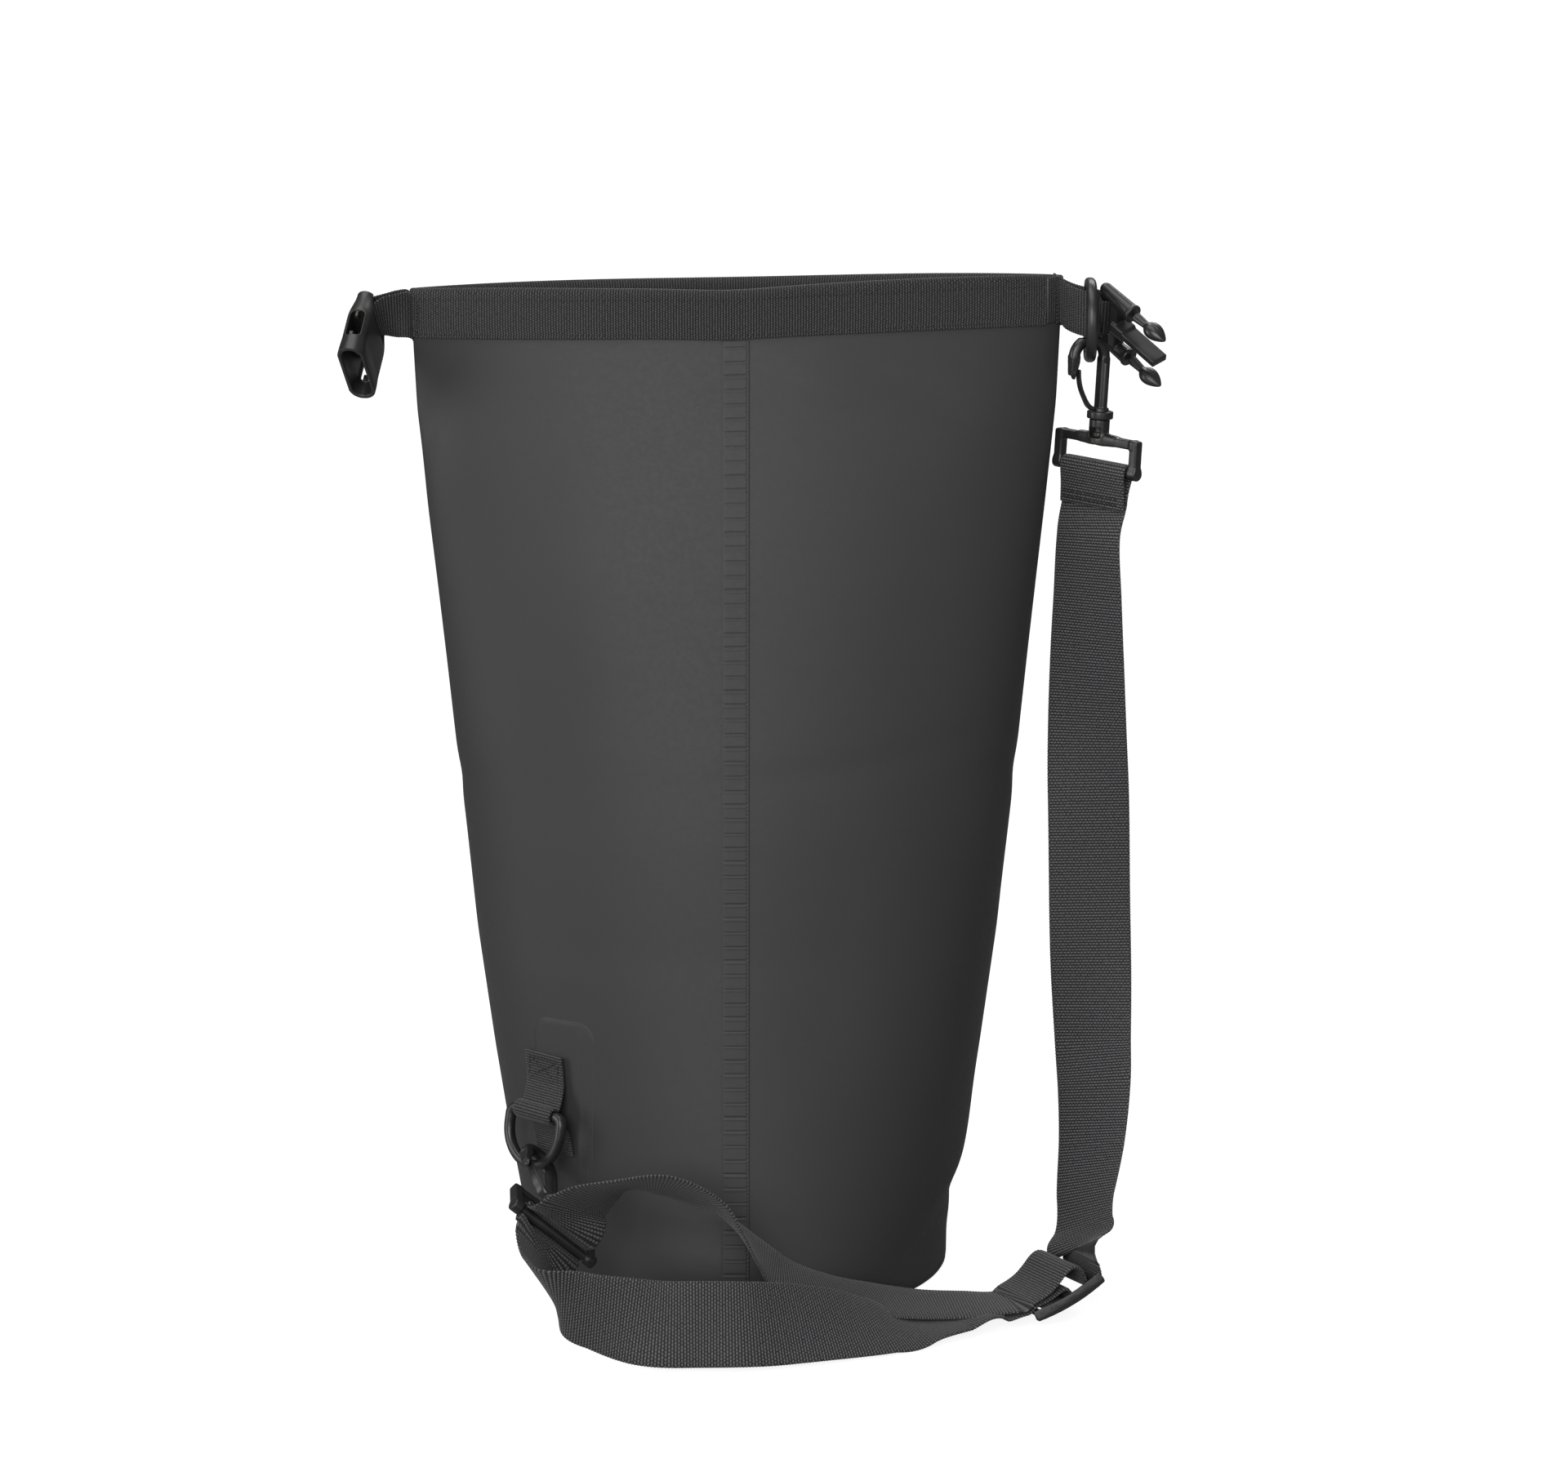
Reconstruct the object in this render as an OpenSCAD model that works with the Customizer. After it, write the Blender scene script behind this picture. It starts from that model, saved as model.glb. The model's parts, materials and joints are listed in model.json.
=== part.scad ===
// Roll-top rope storage bag, standing open, with its clip-on shoulder strap.
// Millimetres. Origin: centre of the base's underside. +Z up, -Y is the welded seam's side.

/* [Bag body] */
// Radius of the round base
base_r = 99.5; // [80:0.5:130]
// Height of the rim at the middle of the mouth
rim_z = 463; // [300:1:700]
// Half width of the open mouth
mouth_half = 150; // [120:0.5:200]
// Thickness of the coated fabric
skin_t = 1.2; // [0.5:0.1:3]
// Height of the turned-up flange of the base, inside the tube
cuff_h = 18; // [8:1:40]
// How far the middle of the mouth lies behind the base's centre
mouth_back = 14; // [0:1:30]

/* [Mouth webbing] */
// Visible width of the mouth's webbing band
band_w = 21.5; // [15:0.5:40]
// Thickness of one layer of webbing
web_t = 1.3; // [0.8:0.1:2.5]

/* [Plastic fittings] */
// Outside width of the D-rings
ring_w = 39; // [30:0.5:55]
// Bar thickness of the D-rings
ring_bar = 5; // [3:0.1:8]
// Outside width of the side-release buckle
buckle_w = 36; // [28:0.5:50]
// Thickness of the side-release buckle
buckle_t = 11.6; // [8:0.1:16]
// Gap between pieces that move on each other
gap = 0.3; // [0.2:0.05:0.6]

/* [Shoulder strap] */
// Width of the shoulder strap's webbing
strap_w = 38; // [25:0.5:50]
// Thickness of the shoulder strap's webbing
strap_t = 1.4; // [1:0.1:2.5]

/* [Hidden] */
$fn = 48;

c_cloth = [0.22, 0.22, 0.22];
c_web = [0.17, 0.17, 0.17];
c_plast = [0.08, 0.08, 0.08];

// ---- plain helpers
function tab(z, T, i = 0) = z <= T[i][0] ? T[i][1]
  : i >= len(T) - 1 ? T[i][1]
  : z <= T[i + 1][0]
    ? T[i][1] + (T[i + 1][1] - T[i][1]) * (z - T[i][0]) / (T[i + 1][0] - T[i][0])
    : tab(z, T, i + 1);
function unit(v) = v / norm(v);
function flat_to(v, a) = unit(v - a * (v * a));

// Local frame with x along ex, z as near ez as it can be, at p
module place(p, ex, ez) {
  x = unit(ex);
  z = flat_to(ez, x);
  y = cross(z, x);
  multmatrix([[x[0], y[0], z[0], p[0]], [x[1], y[1], z[1], p[1]],
    [x[2], y[2], z[2], p[2]], [0, 0, 0, 1]]) children();
}

// ---- the soft tube: half width, half depth and roundness against height
tube_a = [[0, base_r], [cuff_h, base_r + 0.2], [39, 103.9], [70, 109.3], [107, 115],
  [163, 122.6], [214, 127.6], [253, 132], [292, 136], [331, 140.2], [362, 143.6],
  [407, 148.2], [445, mouth_half], [rim_z + 5, mouth_half]];
tube_b = [[0, base_r], [cuff_h, base_r - 0.1], [39, 95], [70, 89.2], [107, 82.7],
  [163, 73.8], [214, 68], [253, 62.5], [292, 56], [331, 49], [362, 42.5],
  [407, 33.5], [445, 28], [rim_z + 5, 27]];
function tube_k(z) = 0.5 + 0.25 * max(0, min(1, (z - 150) / 300));
function lean(z) = mouth_back * pow(z / rim_z, 2);
// phi = 0 at +X, 90 at +Y (back), -90 at the seam's side
function sec(z, phi, off) = let (
    a = tab(z, tube_a) + off, b = tab(z, tube_b) + off, s = sin(phi),
    x = a * cos(phi),
    y = b * sign(s) * pow(abs(s), 2 * tube_k(z)) + lean(z))
  [x, y, z + 0.02 * x * pow(z / rim_z, 2)];

function ring_f(m, n, o) = [for (i = [0:m - 2], j = [0:n - 1])
  let (a = o + i * n + j, b = o + i * n + (j + 1) % n)
  each [[a, a + n, b], [b, a + n, b + n]]];

// Closed wall that runs all the way round, between two heights and two offsets
module wall_ring(zs, o0, o1, n = 72) {
  m = len(zs);
  P = [for (z = zs, j = [0:n - 1]) sec(z, 360 * j / n, o1)];
  Q = [for (z = zs, j = [0:n - 1]) sec(z, 360 * j / n, o0)];
  outer = ring_f(m, n, 0);
  inner = [for (f = ring_f(m, n, m * n)) [f[0], f[2], f[1]]];
  low = [for (j = [0:n - 1]) let (a = j, b = (j + 1) % n, q = m * n)
    each [[a, b, q + a], [b, q + b, q + a]]];
  top = [for (j = [0:n - 1]) let (a = (m - 1) * n + j, b = (m - 1) * n + (j + 1) % n, q = m * n)
    each [[a, q + a, b], [b, q + a, q + b]]];
  polyhedron(concat(P, Q), concat(outer, inner, low, top), convexity = 8);
}

// Closed slab between two grids of m by n points, G above H
module slab(G, H) {
  m = len(G);
  n = len(G[0]);
  P = [for (r = G) each r];
  Q = [for (r = H) each r];
  q = m * n;
  F = [for (i = [0:m - 2], j = [0:n - 2]) let (a = i * n + j)
    each [[a, a + n, a + 1], [a + 1, a + n, a + n + 1]]];
  K = [for (f = F) [f[0] + q, f[2] + q, f[1] + q]];
  s0 = [for (j = [0:n - 2]) each [[j, j + 1, q + j], [j + 1, q + j + 1, q + j]]];
  s1 = [for (j = [0:n - 2]) let (a = (m - 1) * n + j)
    each [[a, q + a, a + 1], [a + 1, q + a, q + a + 1]]];
  s2 = [for (i = [0:m - 2]) let (a = i * n) each [[a, q + a, a + n], [a + n, q + a, q + a + n]]];
  s3 = [for (i = [0:m - 2]) let (a = i * n + n - 1)
    each [[a, a + n, q + a], [a + n, q + a + n, q + a]]];
  polyhedron(concat(P, Q), concat(F, K, s0, s1, s2, s3), convexity = 8);
}

// Strip laid on the tube between angles and heights
module skin(zs, phis, o0, o1) {
  slab([for (z = zs) [for (p = phis) sec(z, p, o1)]],
    [for (z = zs) [for (p = phis) sec(z, p, o0)]]);
}

// Ribbon along stations [centre, direction across]
function tangent(S, i) = unit(S[min(i + 1, len(S) - 1)][0] - S[max(i - 1, 0)][0]);
function ribbon_row(S, i, w, t, held) = let (T = tangent(S, i),
    W = held ? unit(S[i][1]) : flat_to(S[i][1], T), N = unit(cross(T, W)))
  [for (u = [-1, 1]) S[i][0] + W * (u * w / 2) + N * (t / 2)];
// held: the stated directions across are kept as they are, for short twisted loops
module ribbon(S, w, t, held = false) {
  slab([for (i = [0:len(S) - 1]) ribbon_row(S, i, w, -t, held)],
    [for (i = [0:len(S) - 1]) ribbon_row(S, i, w, t, held)]);
}

tube_z = [0, cuff_h, 39, 70, 107, 163, 214, 253, 292, 331, 362, 407, 445, rim_z];
band_z = [rim_z - band_w, rim_z - band_w / 2, rim_z + 0.6];

module bag_tube() {
  color(c_cloth) wall_ring(tube_z, -skin_t, 0);
}

module base_disc() {
  color(c_cloth) cylinder(r = base_r - skin_t - 0.15, h = skin_t, $fn = 96);
}

flange_r = base_r - skin_t - 0.55;
module base_cuff() {
  color(c_cloth) translate([0, 0, skin_t + 0.15]) difference() {
    cylinder(r = flange_r, h = cuff_h, $fn = 96);
    translate([0, 0, -1]) cylinder(r = flange_r - 0.8, h = cuff_h + 2, $fn = 96);
  }
}

// Points across the seam's strip, the same width at every height
seam_w = 12;
function seam_row(z, off) =
  [for (u = [-0.5:0.25:0.5]) sec(z, -90 + asin(u * seam_w / tab(z, tube_a)), off)];
module back_seam() {
  zs = [20, 39, 70, 107, 163, 214, 253, 292, 331, 362, 407, rim_z - band_w - 0.6];
  color(c_cloth) slab([for (z = zs) seam_row(z, 0.95)], [for (z = zs) seam_row(z, 0.12)]);
}

module mouth_band_front() {
  color(c_web) skin(band_z, [for (p = [-172:4:-8]) p], 0.12, 0.12 + web_t);
}

module mouth_band_back() {
  color(c_web) skin(band_z, [for (p = [8:4:172]) p], 0.12, 0.12 + web_t);
}

hem_z = [rim_z - 20, rim_z - 18, rim_z - 1];
module stiffener_front() {
  color(c_plast) skin(hem_z, [for (p = [-165:5:-15]) p],
    -skin_t - 1.3, -skin_t - 0.5);
}

module stiffener_back() {
  color(c_plast) skin(hem_z, [for (p = [15:5:165]) p],
    -skin_t - 1.3, -skin_t - 0.5);
}

// ---- mouth loops and the buckles that they hold
loop_w = 21.1;
fem_p = [-168.5, 4, 448.5];
fem_x = [-0.14, -0.70, -0.70];
fem_z = [-0.98, 0.19, 0];
fem_w = [-0.13, -0.70, 0.70];
male_p = [170, 6, 450.5];
male_x = [0.60, -0.62, -0.50];
male_z = [-0.79, -0.47, -0.37];
male_w = [0, -0.62, 0.78];
bar_r = 1.9;
wrap_r = bar_r + gap + 0.2 + web_t / 2;

function wrap(p, a, w, r, c0, c1, n) = let (x = unit(a), z = unit(w), y = cross(z, x))
  [for (i = [0:n]) let (t = c0 + (c1 - c0) * i / n)
    [p + x * (r * cos(t)) + y * (r * sin(t)), z]];

module left_loop() {
  a = flat_to([1, 0.25, 0.25], unit(fem_w));
  color(c_web) ribbon(concat(
    [[[-152, 9.4, 449.5], [0, 0, 1]], [[-157, 7.2, 449.3], [0, -0.25, 1]],
      [[-162.5, 5.2, 449], [-0.05, -0.5, 0.9]]],
    wrap(fem_p, a, fem_w, wrap_r, 300, 60, 10),
    [[[-161, 11.5, 450.5], [-0.05, -0.5, 0.9]], [[-156.5, 13.5, 450.5], [0, -0.25, 1]],
      [[-152, 15.4, 450], [0, 0, 1]]]), loop_w, web_t, true);
}

module right_loop() {
  a = flat_to([-1, 0.2, 0.1], unit(male_w));
  color(c_web) ribbon(concat(
    [[[152, 9.2, 453.6], [0, 0, 1]], [[157.5, 4, 451.4], [0, 0, 1]],
      [[162.2, 2.6, 450.4], [0, -0.02, 1]], [[165.8, 2.5, 449.8], [0, -0.16, 1]]],
    wrap(male_p, a, male_w, wrap_r, 60, 300, 10),
    [[[166, 11.6, 450.8], [0, -0.14, 1]], [[162, 12.2, 451.5], [0, -0.02, 1]],
      [[157, 14.4, 452.6], [0, 0, 1]], [[152, 15.6, 454.6], [0, 0, 1]]]), loop_w, web_t, true);
}

module stadium(w, t) {
  square([w - t, t], center = true);
  for (s = [-1, 1]) translate([s * (w - t) / 2, 0]) circle(d = t);
}

// Side-release buckle, female half: x runs from the web bar to the mouth
module female_body() {
  difference() {
    union() {
      translate([7, 0, 0]) rotate([90, 0, 90]) linear_extrude(26) stadium(buckle_w, buckle_t);
      for (s = [-1, 1]) translate([-2.6, s * (buckle_w / 2 - 2.2) - 2.2, -3.2])
        cube([11, 4.4, 6.4]);
    }
    translate([9, 0, 0]) rotate([90, 0, 90]) linear_extrude(30)
      stadium(buckle_w - 4, buckle_t - 3.6);
    translate([10, -30, -3]) cube([14, 60, 6]);
  }
  rotate([90, 0, 0]) cylinder(r = bar_r, h = buckle_w - 6, center = true);
  translate([8, 0, 0]) rotate([0, 90, 0]) cylinder(r = 1.1, h = 12);
}

module female_buckle() {
  color(c_plast) place(fem_p, fem_x, fem_z) female_body();
}

arm_y = buckle_w / 2 - 4.2;
// Male half: frame with the web bar and the middle guide
module male_body() {
  for (s = [-1, 1]) {
    translate([-2, s * (arm_y + 1.1) - 2.6, -3]) cube([13.4, 5.2, 6]);
    translate([4, s * arm_y, 0]) rotate([0, 90, 0]) cylinder(r = 4.2, h = 15);
  }
  translate([6.4, -arm_y, -3.2]) cube([5, 2 * arm_y, 6.4]);
  translate([8, -1.8, -4.3]) cube([31, 3.6, 8.6]);
  rotate([90, 0, 0]) cylinder(r = bar_r, h = buckle_w - 6, center = true);
}

module male_buckle() {
  color(c_plast) place(male_p, male_x, male_z) male_body();
}

// Springy side arm with its barbed head, flexing about the boss at its root
prong_root = 1.8;
module prong() {
  translate([prong_root, 0, 0]) cylinder(r = 1.5, h = 6.4, center = true);
  rotate([0, 90, 0]) rotate_extrude()
    polygon([[0, 0], [1.4, 0], [2.7, 1.2], [2.2, 8], [2.6, 9.5], [4.2, 10.2], [4.3, 13],
      [3.6, 17], [2.2, 20.5], [0, 21.8]]);
}

module male_prong_upper() {
  color(c_plast) place(male_p, male_x, male_z) translate([19 + gap, arm_y, 0]) prong();
}

module male_prong_lower() {
  color(c_plast) place(male_p, male_x, male_z) translate([19 + gap, -arm_y, 0]) prong();
}

// ---- D-rings: straight bar along x, bow towards -y
ring_r = ring_bar / 2;
bow_r = ring_w / 2 - ring_r;
leg = 7.5;
module d_ring() {
  rotate([0, 90, 0]) cylinder(r = ring_r, h = 2 * bow_r, center = true);
  for (s = [-1, 1]) {
    translate([s * bow_r, 0, 0]) sphere(r = ring_r);
    translate([s * bow_r, 0, 0]) rotate([90, 0, 0]) cylinder(r = ring_r, h = leg);
  }
  translate([0, -leg, 0]) rotate([0, 0, 180]) rotate_extrude(angle = 180)
    translate([bow_r, 0]) circle(r = ring_r, $fn = 24);
}

up_ring_p = [162.6, 6.6, 448];
module upper_d_ring() {
  color(c_plast) place(up_ring_p, [0, 0, -1], [1, 0, 0]) d_ring();
}

// The tab on the lower left of the seam's side
tab_phi = -139.5;
tab_n = unit([-0.70, -0.714, 0]);
tab_t = [0.714, -0.70, 0];
tab_c = sec(89, tab_phi, 0);
low_ring_p = tab_c + tab_n * 9.6 + [0, 0, -0.5];
low_down = unit(tab_n * 0.188 + [0, 0, -0.982]);
module lower_d_ring() {
  color(c_plast) place(low_ring_p, tab_t, cross(tab_t, -low_down)) d_ring();
}

// ---- swivel snap hook: ring's bar centre at the origin, z up the shank's reverse,
// x towards the claw, y its thickness. The swivel axis is at x = sw_x.
sw_x = -7.9;
hook_t = 5.2;
bow_z = 1.2;
module hook_body() {
  rotate([90, 0, 0]) linear_extrude(hook_t, center = true) {
    difference() {
      translate([0, bow_z]) circle(r = 10.6);
      translate([0, bow_z]) circle(r = 5.3);
      translate([-20, bow_z - 40]) square([40, 40]);
    }
    polygon([[-10.6, bow_z + 0.1], [-5.3, bow_z + 0.1], [-5.3, -24.2], [-10.4, -24.2]]);
    polygon([[5.3, bow_z + 0.1], [10.6, bow_z + 0.1], [10, -4.3], [8.6, -8.3], [6.4, -8.3],
      [6.6, -2.8]]);
  }
  translate([sw_x, 0, -27.4]) cylinder(r = 6.1, h = 3.4);
  translate([sw_x, 0, -39]) cylinder(r = 2, h = 12.6);
  translate([sw_x, 0, -36]) cylinder(r = 2.9, h = 2.2);
}

// Flexing gate with the round root that it bends about
gate_root = [-3.1, 0, -22.6];
module gate_body() {
  translate(gate_root) rotate([90, 0, 0]) cylinder(r = 1.1, h = 5, center = true);
  rotate([90, 0, 0]) linear_extrude(4, center = true)
    polygon([[-4, -23.1], [-2.2, -23.1], [0.4, -19.6], [2.9, -15.2], [4.6, -10.8], [5.6, -7],
      [5.8, -4.4], [4.8, -4.4], [4.2, -7.2], [3.1, -11.4], [1.2, -15.8], [-2.4, -21.2]]);
}

// Frame below the swivel, the strap's bar at z = bar_z
bar_z = -50.4;
frame_w = 49;
module swivel_frame() {
  difference() {
    union() {
      translate([sw_x, 0, -39.2]) cylinder(r = 4.75, h = 11.5);
      translate([sw_x - 21, -2.4, -39.2]) cube([42, 4.8, 5]);
      translate([sw_x - 9, -2.4, -34.4]) cube([18, 4.8, 3]);
    }
    translate([sw_x, 0, -41]) cylinder(r = 2.08, h = 20);
    translate([sw_x - 3.3, -8, -36.3]) cube([6.6, 16, 5]);
    translate([sw_x, 0, -36.3]) cylinder(r = 3.3, h = 5);
  }
  for (s = [-1, 1]) translate([sw_x + s * (frame_w / 2 - 2.4), 0, 0]) {
    translate([-2.4, -2.6, -50.4]) cube([4.8, 5.2, 16.2]);
    translate([0, 0, -50.4]) rotate([0, 90, 0]) cylinder(r = 2.9, h = 4.8, center = true);
  }
  translate([sw_x, 0, bar_z]) rotate([0, 90, 0])
    cylinder(r = 2.2, h = frame_w - 5, center = true);
}

up_pin = [162.05, -4.8, 430.3];
up_down = unit([-0.05, 0.03, -1]);
up_claw = [-0.89, -0.45, 0];
up_bar = [0.73, -0.68, 0];
module at_upper() {
  place(up_pin, flat_to(up_claw, up_down), -up_down) children();
}

low_pin = [-91.14, -69.48, 65.45];
low_dir = unit([0.071, -0.965, -0.251]);
low_claw = [-0.678, -0.231, 0.698];
low_bar = [0.719, 0.224, -0.657];
module at_lower() {
  place(low_pin, flat_to(low_claw, low_dir), -low_dir) children();
}

// A swivel frame turned about its own axis so that its bar lies along b
module frame_at(pin, dir, claw, b) {
  x = flat_to(claw, dir);
  place(pin + x * sw_x, flat_to(b, dir), -dir) translate([-sw_x, 0, 0]) swivel_frame();
}

module upper_snap_hook() {
  color(c_plast) at_upper() hook_body();
}

module upper_hook_gate() {
  color(c_plast) at_upper() gate_body();
}

module upper_swivel_frame() {
  color(c_plast) frame_at(up_pin, up_down, up_claw, up_bar);
}

module lower_snap_hook() {
  color(c_plast) at_lower() hook_body();
}

module lower_hook_gate() {
  color(c_plast) at_lower() gate_body();
}

module lower_swivel_frame() {
  color(c_plast) frame_at(low_pin, low_dir, low_claw, low_bar);
}

// ---- slider near the floor: x along the strap's travel, y along its width
sl_p = [143.2, -84, 11.2];
sl_x = unit([0.831, 0.399, 0.386]);
sl_y = unit([-0.401, 0.913, -0.08]);
sl_z = cross(sl_x, sl_y);
function sl(x, z) = sl_p + sl_x * x + sl_z * z;
module strap_slider() {
  color(c_plast) place(sl_p, sl_x, sl_z) {
    for (x = [-15.5, 0, 15.5]) translate([x, 0, 0]) rotate([90, 0, 0])
      cylinder(r = 1.7, h = 44, center = true);
    for (s = [-1, 1]) translate([-17.8, s * 21.8 - 1.7, -2]) cube([35.6, 3.4, 4]);
  }
}

// ---- shoulder strap: one length of webbing from the upper frame's bar to the slider
up_x = flat_to(up_claw, up_down);
up_bar_c = up_pin + up_x * sw_x - up_down * bar_z;
up_bw = flat_to(up_bar, up_down);
up_n = cross(up_down, up_bw);
lo_x = flat_to(low_claw, low_dir);
low_bar_c = low_pin + lo_x * sw_x - low_dir * bar_z;
lo_bw = flat_to(low_bar, low_dir);
lo_n = cross(lo_bw, low_dir);
wr = 2.2 + gap + strap_t / 2;
function lo(s, n) = low_bar_c + low_dir * s + lo_n * n;
function up(s, n) = up_bar_c + up_down * s + up_n * n;

strap_path = concat(
  [[up(18, 1.6), up_bw], [up(9, 2.2), up_bw], [up(2, wr), up_bw]],
  [for (t = [30:30:150]) [up(-wr * sin(t), wr * cos(t)), up_bw]],
  [[up(2, -wr), up_bw], [up(9, -1.2), up_bw], [up(16, -0.2), up_bw],
    [[162.8, -4.5, 348], [0.72, -0.69, 0.02]], [[162.7, -6.2, 320], [0.78, -0.6, 0.04]],
    [[162.8, -6.5, 294], [0.86, -0.5, 0.05]], [[163.4, -7.1, 255], [0.95, -0.31, 0.04]],
    [[164.4, -10.9, 217], [1, -0.06, 0]], [[165.2, -16.8, 168], [1, -0.06, 0]],
    [[166.6, -24.6, 115], [0.92, -0.39, 0.06]], [[167, -32.4, 94], [0.86, -0.5, 0.08]],
    [[165.6, -42.8, 69.5], [0.76, -0.65, 0.11]], [[162.2, -56.5, 48], [0.61, -0.79, 0.09]],
    [[160.6, -65.5, 35], [0.53, -0.84, 0.1]]],
  [for (q = [[20.6, 9], [20.4, 5], [19.8, 0.5], [18.2, -2.4], [15.5, -3.5], [12.9, -2.7], [12, 0.5],
      [12.2, 4], [11.6, 7.6], [9, 9.9], [5, 9.6], [0, 7.4], [-5, 5.6], [-10, 4.9],
      [-15.5, 4.8], [-20, 4]]) [sl(q[0], q[1]), -sl_y]],
  [[[105, -95, 6.6], [-0.21, -0.97, 0]], [[86.3, -97.5, 7.6], [-0.19, -0.98, 0]],
    [[63.9, -102.8, 11.6], [-0.26, -0.96, 0]], [[42.7, -110.2, 17.5], [-0.28, -0.96, 0]],
    [[21.9, -115.2, 26.8], [-0.26, -0.96, 0]], [[10.6, -116.4, 38], [-0.12, -0.99, 0.1]],
    [[-0.4, -119.9, 51.4], [0, -0.95, 0.3]], [[-11.8, -123.4, 63.4], [0.06, -0.87, 0.48]],
    [[-30, -125.8, 72.4], [0.02, -0.86, 0.51]], [[-49, -125.6, 73.1], [0.03, -0.91, 0.4]],
    [[-62, -124.5, 68], [-0.21, -0.81, 0.55]], [[-72, -121.5, 60.5], [-0.36, -0.65, 0.66]]],
  [for (q = [[0.5, -6.5], [-2.2, -3], [-wr, 0], [-2, 3], [4, 4.4]]) [lo(q[0], q[1]), -lo_bw]],
  [[[-87.8, -126.9, 41], [-0.53, -0.53, 0.66]], [[-85.6, -139, 32.9], [-0.45, -0.42, 0.79]],
    [[-79.6, -150.2, 28], [-0.46, -0.14, 0.88]], [[-63.7, -157, 24.2], [-0.37, 0, 0.93]],
    [[-45.5, -163.2, 22], [-0.22, 0.2, 0.94]], [[-32, -165, 21], [-0.1, 0.3, 0.93]],
    [[-14.6, -164.6, 20.8], [0.03, 0.35, 0.94]], [[6.1, -162, 20], [0.11, 0.5, 0.86]],
    [[25.6, -153, 17.4], [0.1, 0.7, 0.7]], [[45, -143, 14.2], [0.11, 0.85, 0.5]],
    [[64.8, -131.5, 9.4], [0.15, 0.95, 0.2]], [[80.1, -120.5, 5.2], [0.17, 0.98, 0]],
    [[97, -110, 4.4], [0.24, 0.96, -0.02]], [[113, -98.5, 5.6], [0.3, 0.95, -0.02]]],
  [for (q = [[-20.5, 1.9], [-15.5, 2.75], [-9, 2.3], [-3, 2.6], [0, 2.8], [2.2, 1.9],
      [2.8, 0], [2, -2], [0, -2.8], [-3, -2], [-8, -0.2], [-12, 0.4]]) [sl(q[0], q[1]), sl_y]]);

module shoulder_strap() {
  color(c_web) ribbon(strap_path, strap_w, strap_t);
}

// ---- the sewn tab with its bulge round the lower D-ring's bar, on a welded patch
function tabp(h, d) = [sec(h, tab_phi, 0) + tab_n * d, tab_t];
module d_ring_tab() {
  tr = ring_r + gap + 0.1 + web_t / 2;
  rc = low_ring_p;
  color(c_web) ribbon(concat(
    [tabp(114, 2.2), tabp(106, 2.2), tabp(99.5, 2.8)],
    [for (t = [135:-27:-135]) [rc + tab_n * (tr * cos(t)) + [0, 0, tr * sin(t)], tab_t]],
    [tabp(79, 2.6), tabp(73, 1.6), tabp(69, 1.6)]), 25, web_t, true);
}

module d_ring_patch() {
  color(c_cloth) skin([54, 70, 89, 107, 131], [for (p = [-155:5:-125]) p], 0.12, 0.75);
}

bag_tube();
base_disc();
base_cuff();
back_seam();
mouth_band_front();
mouth_band_back();
stiffener_front();
stiffener_back();
left_loop();
right_loop();
female_buckle();
male_buckle();
male_prong_upper();
male_prong_lower();
upper_d_ring();
upper_snap_hook();
upper_hook_gate();
upper_swivel_frame();
shoulder_strap();
strap_slider();
lower_swivel_frame();
lower_snap_hook();
lower_hook_gate();
lower_d_ring();
d_ring_tab();
d_ring_patch();
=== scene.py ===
import json
import math

import bpy
import numpy as np
from mathutils import Matrix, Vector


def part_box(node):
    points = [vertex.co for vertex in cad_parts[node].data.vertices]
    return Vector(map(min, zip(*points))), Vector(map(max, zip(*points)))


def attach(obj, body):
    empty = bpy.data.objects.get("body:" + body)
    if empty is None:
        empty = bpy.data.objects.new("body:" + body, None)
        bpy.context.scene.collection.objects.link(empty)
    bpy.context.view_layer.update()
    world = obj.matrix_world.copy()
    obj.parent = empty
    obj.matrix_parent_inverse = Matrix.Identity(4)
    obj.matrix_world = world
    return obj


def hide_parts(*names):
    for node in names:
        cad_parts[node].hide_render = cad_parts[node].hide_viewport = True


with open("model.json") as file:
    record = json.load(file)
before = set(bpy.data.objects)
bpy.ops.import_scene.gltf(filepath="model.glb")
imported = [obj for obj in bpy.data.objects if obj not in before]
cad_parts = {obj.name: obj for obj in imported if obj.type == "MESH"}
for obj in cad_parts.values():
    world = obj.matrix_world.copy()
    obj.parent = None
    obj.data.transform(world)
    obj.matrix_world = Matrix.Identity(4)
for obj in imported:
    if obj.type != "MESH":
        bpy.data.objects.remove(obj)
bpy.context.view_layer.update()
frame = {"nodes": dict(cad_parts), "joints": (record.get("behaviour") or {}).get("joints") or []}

# Every size below is in millimetres, in the frame of the CAD, and MM turns it into metres.
MM = 0.001
JOINT = {j["name"]: j for j in frame["joints"]}
BAG = "bag"


# ---------------------------------------------------------------- vectors and frames
def unit(v):
    v = np.asarray(v, float)
    return v / np.linalg.norm(v, axis=-1, keepdims=True)


def flat_to(v, axis):
    """The part of v at right angles to axis, as a unit vector."""
    v = np.asarray(v, float)
    axis = unit(axis)
    return unit(v - axis * np.sum(v * axis, axis=-1, keepdims=True))


class Spot:
    """A local frame at a point: x runs along `along`, z as near `face` as it can be."""

    def __init__(self, point, along, face):
        self.point = np.asarray(point, float)
        x = unit(along)
        z = flat_to(face, x)
        self.axes = np.array([x, np.cross(z, x), z])

    def world(self, local):
        return self.point + np.asarray(local, float) @ self.axes


def joint_point(name):
    """Where a joint's axis passes, in millimetres."""
    return np.array(JOINT[name]["pos_m"]) / MM


def smoothstep(x, low, high):
    t = np.clip((x - low) / (high - low), 0, 1)
    return t * t * (3 - 2 * t)


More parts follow.
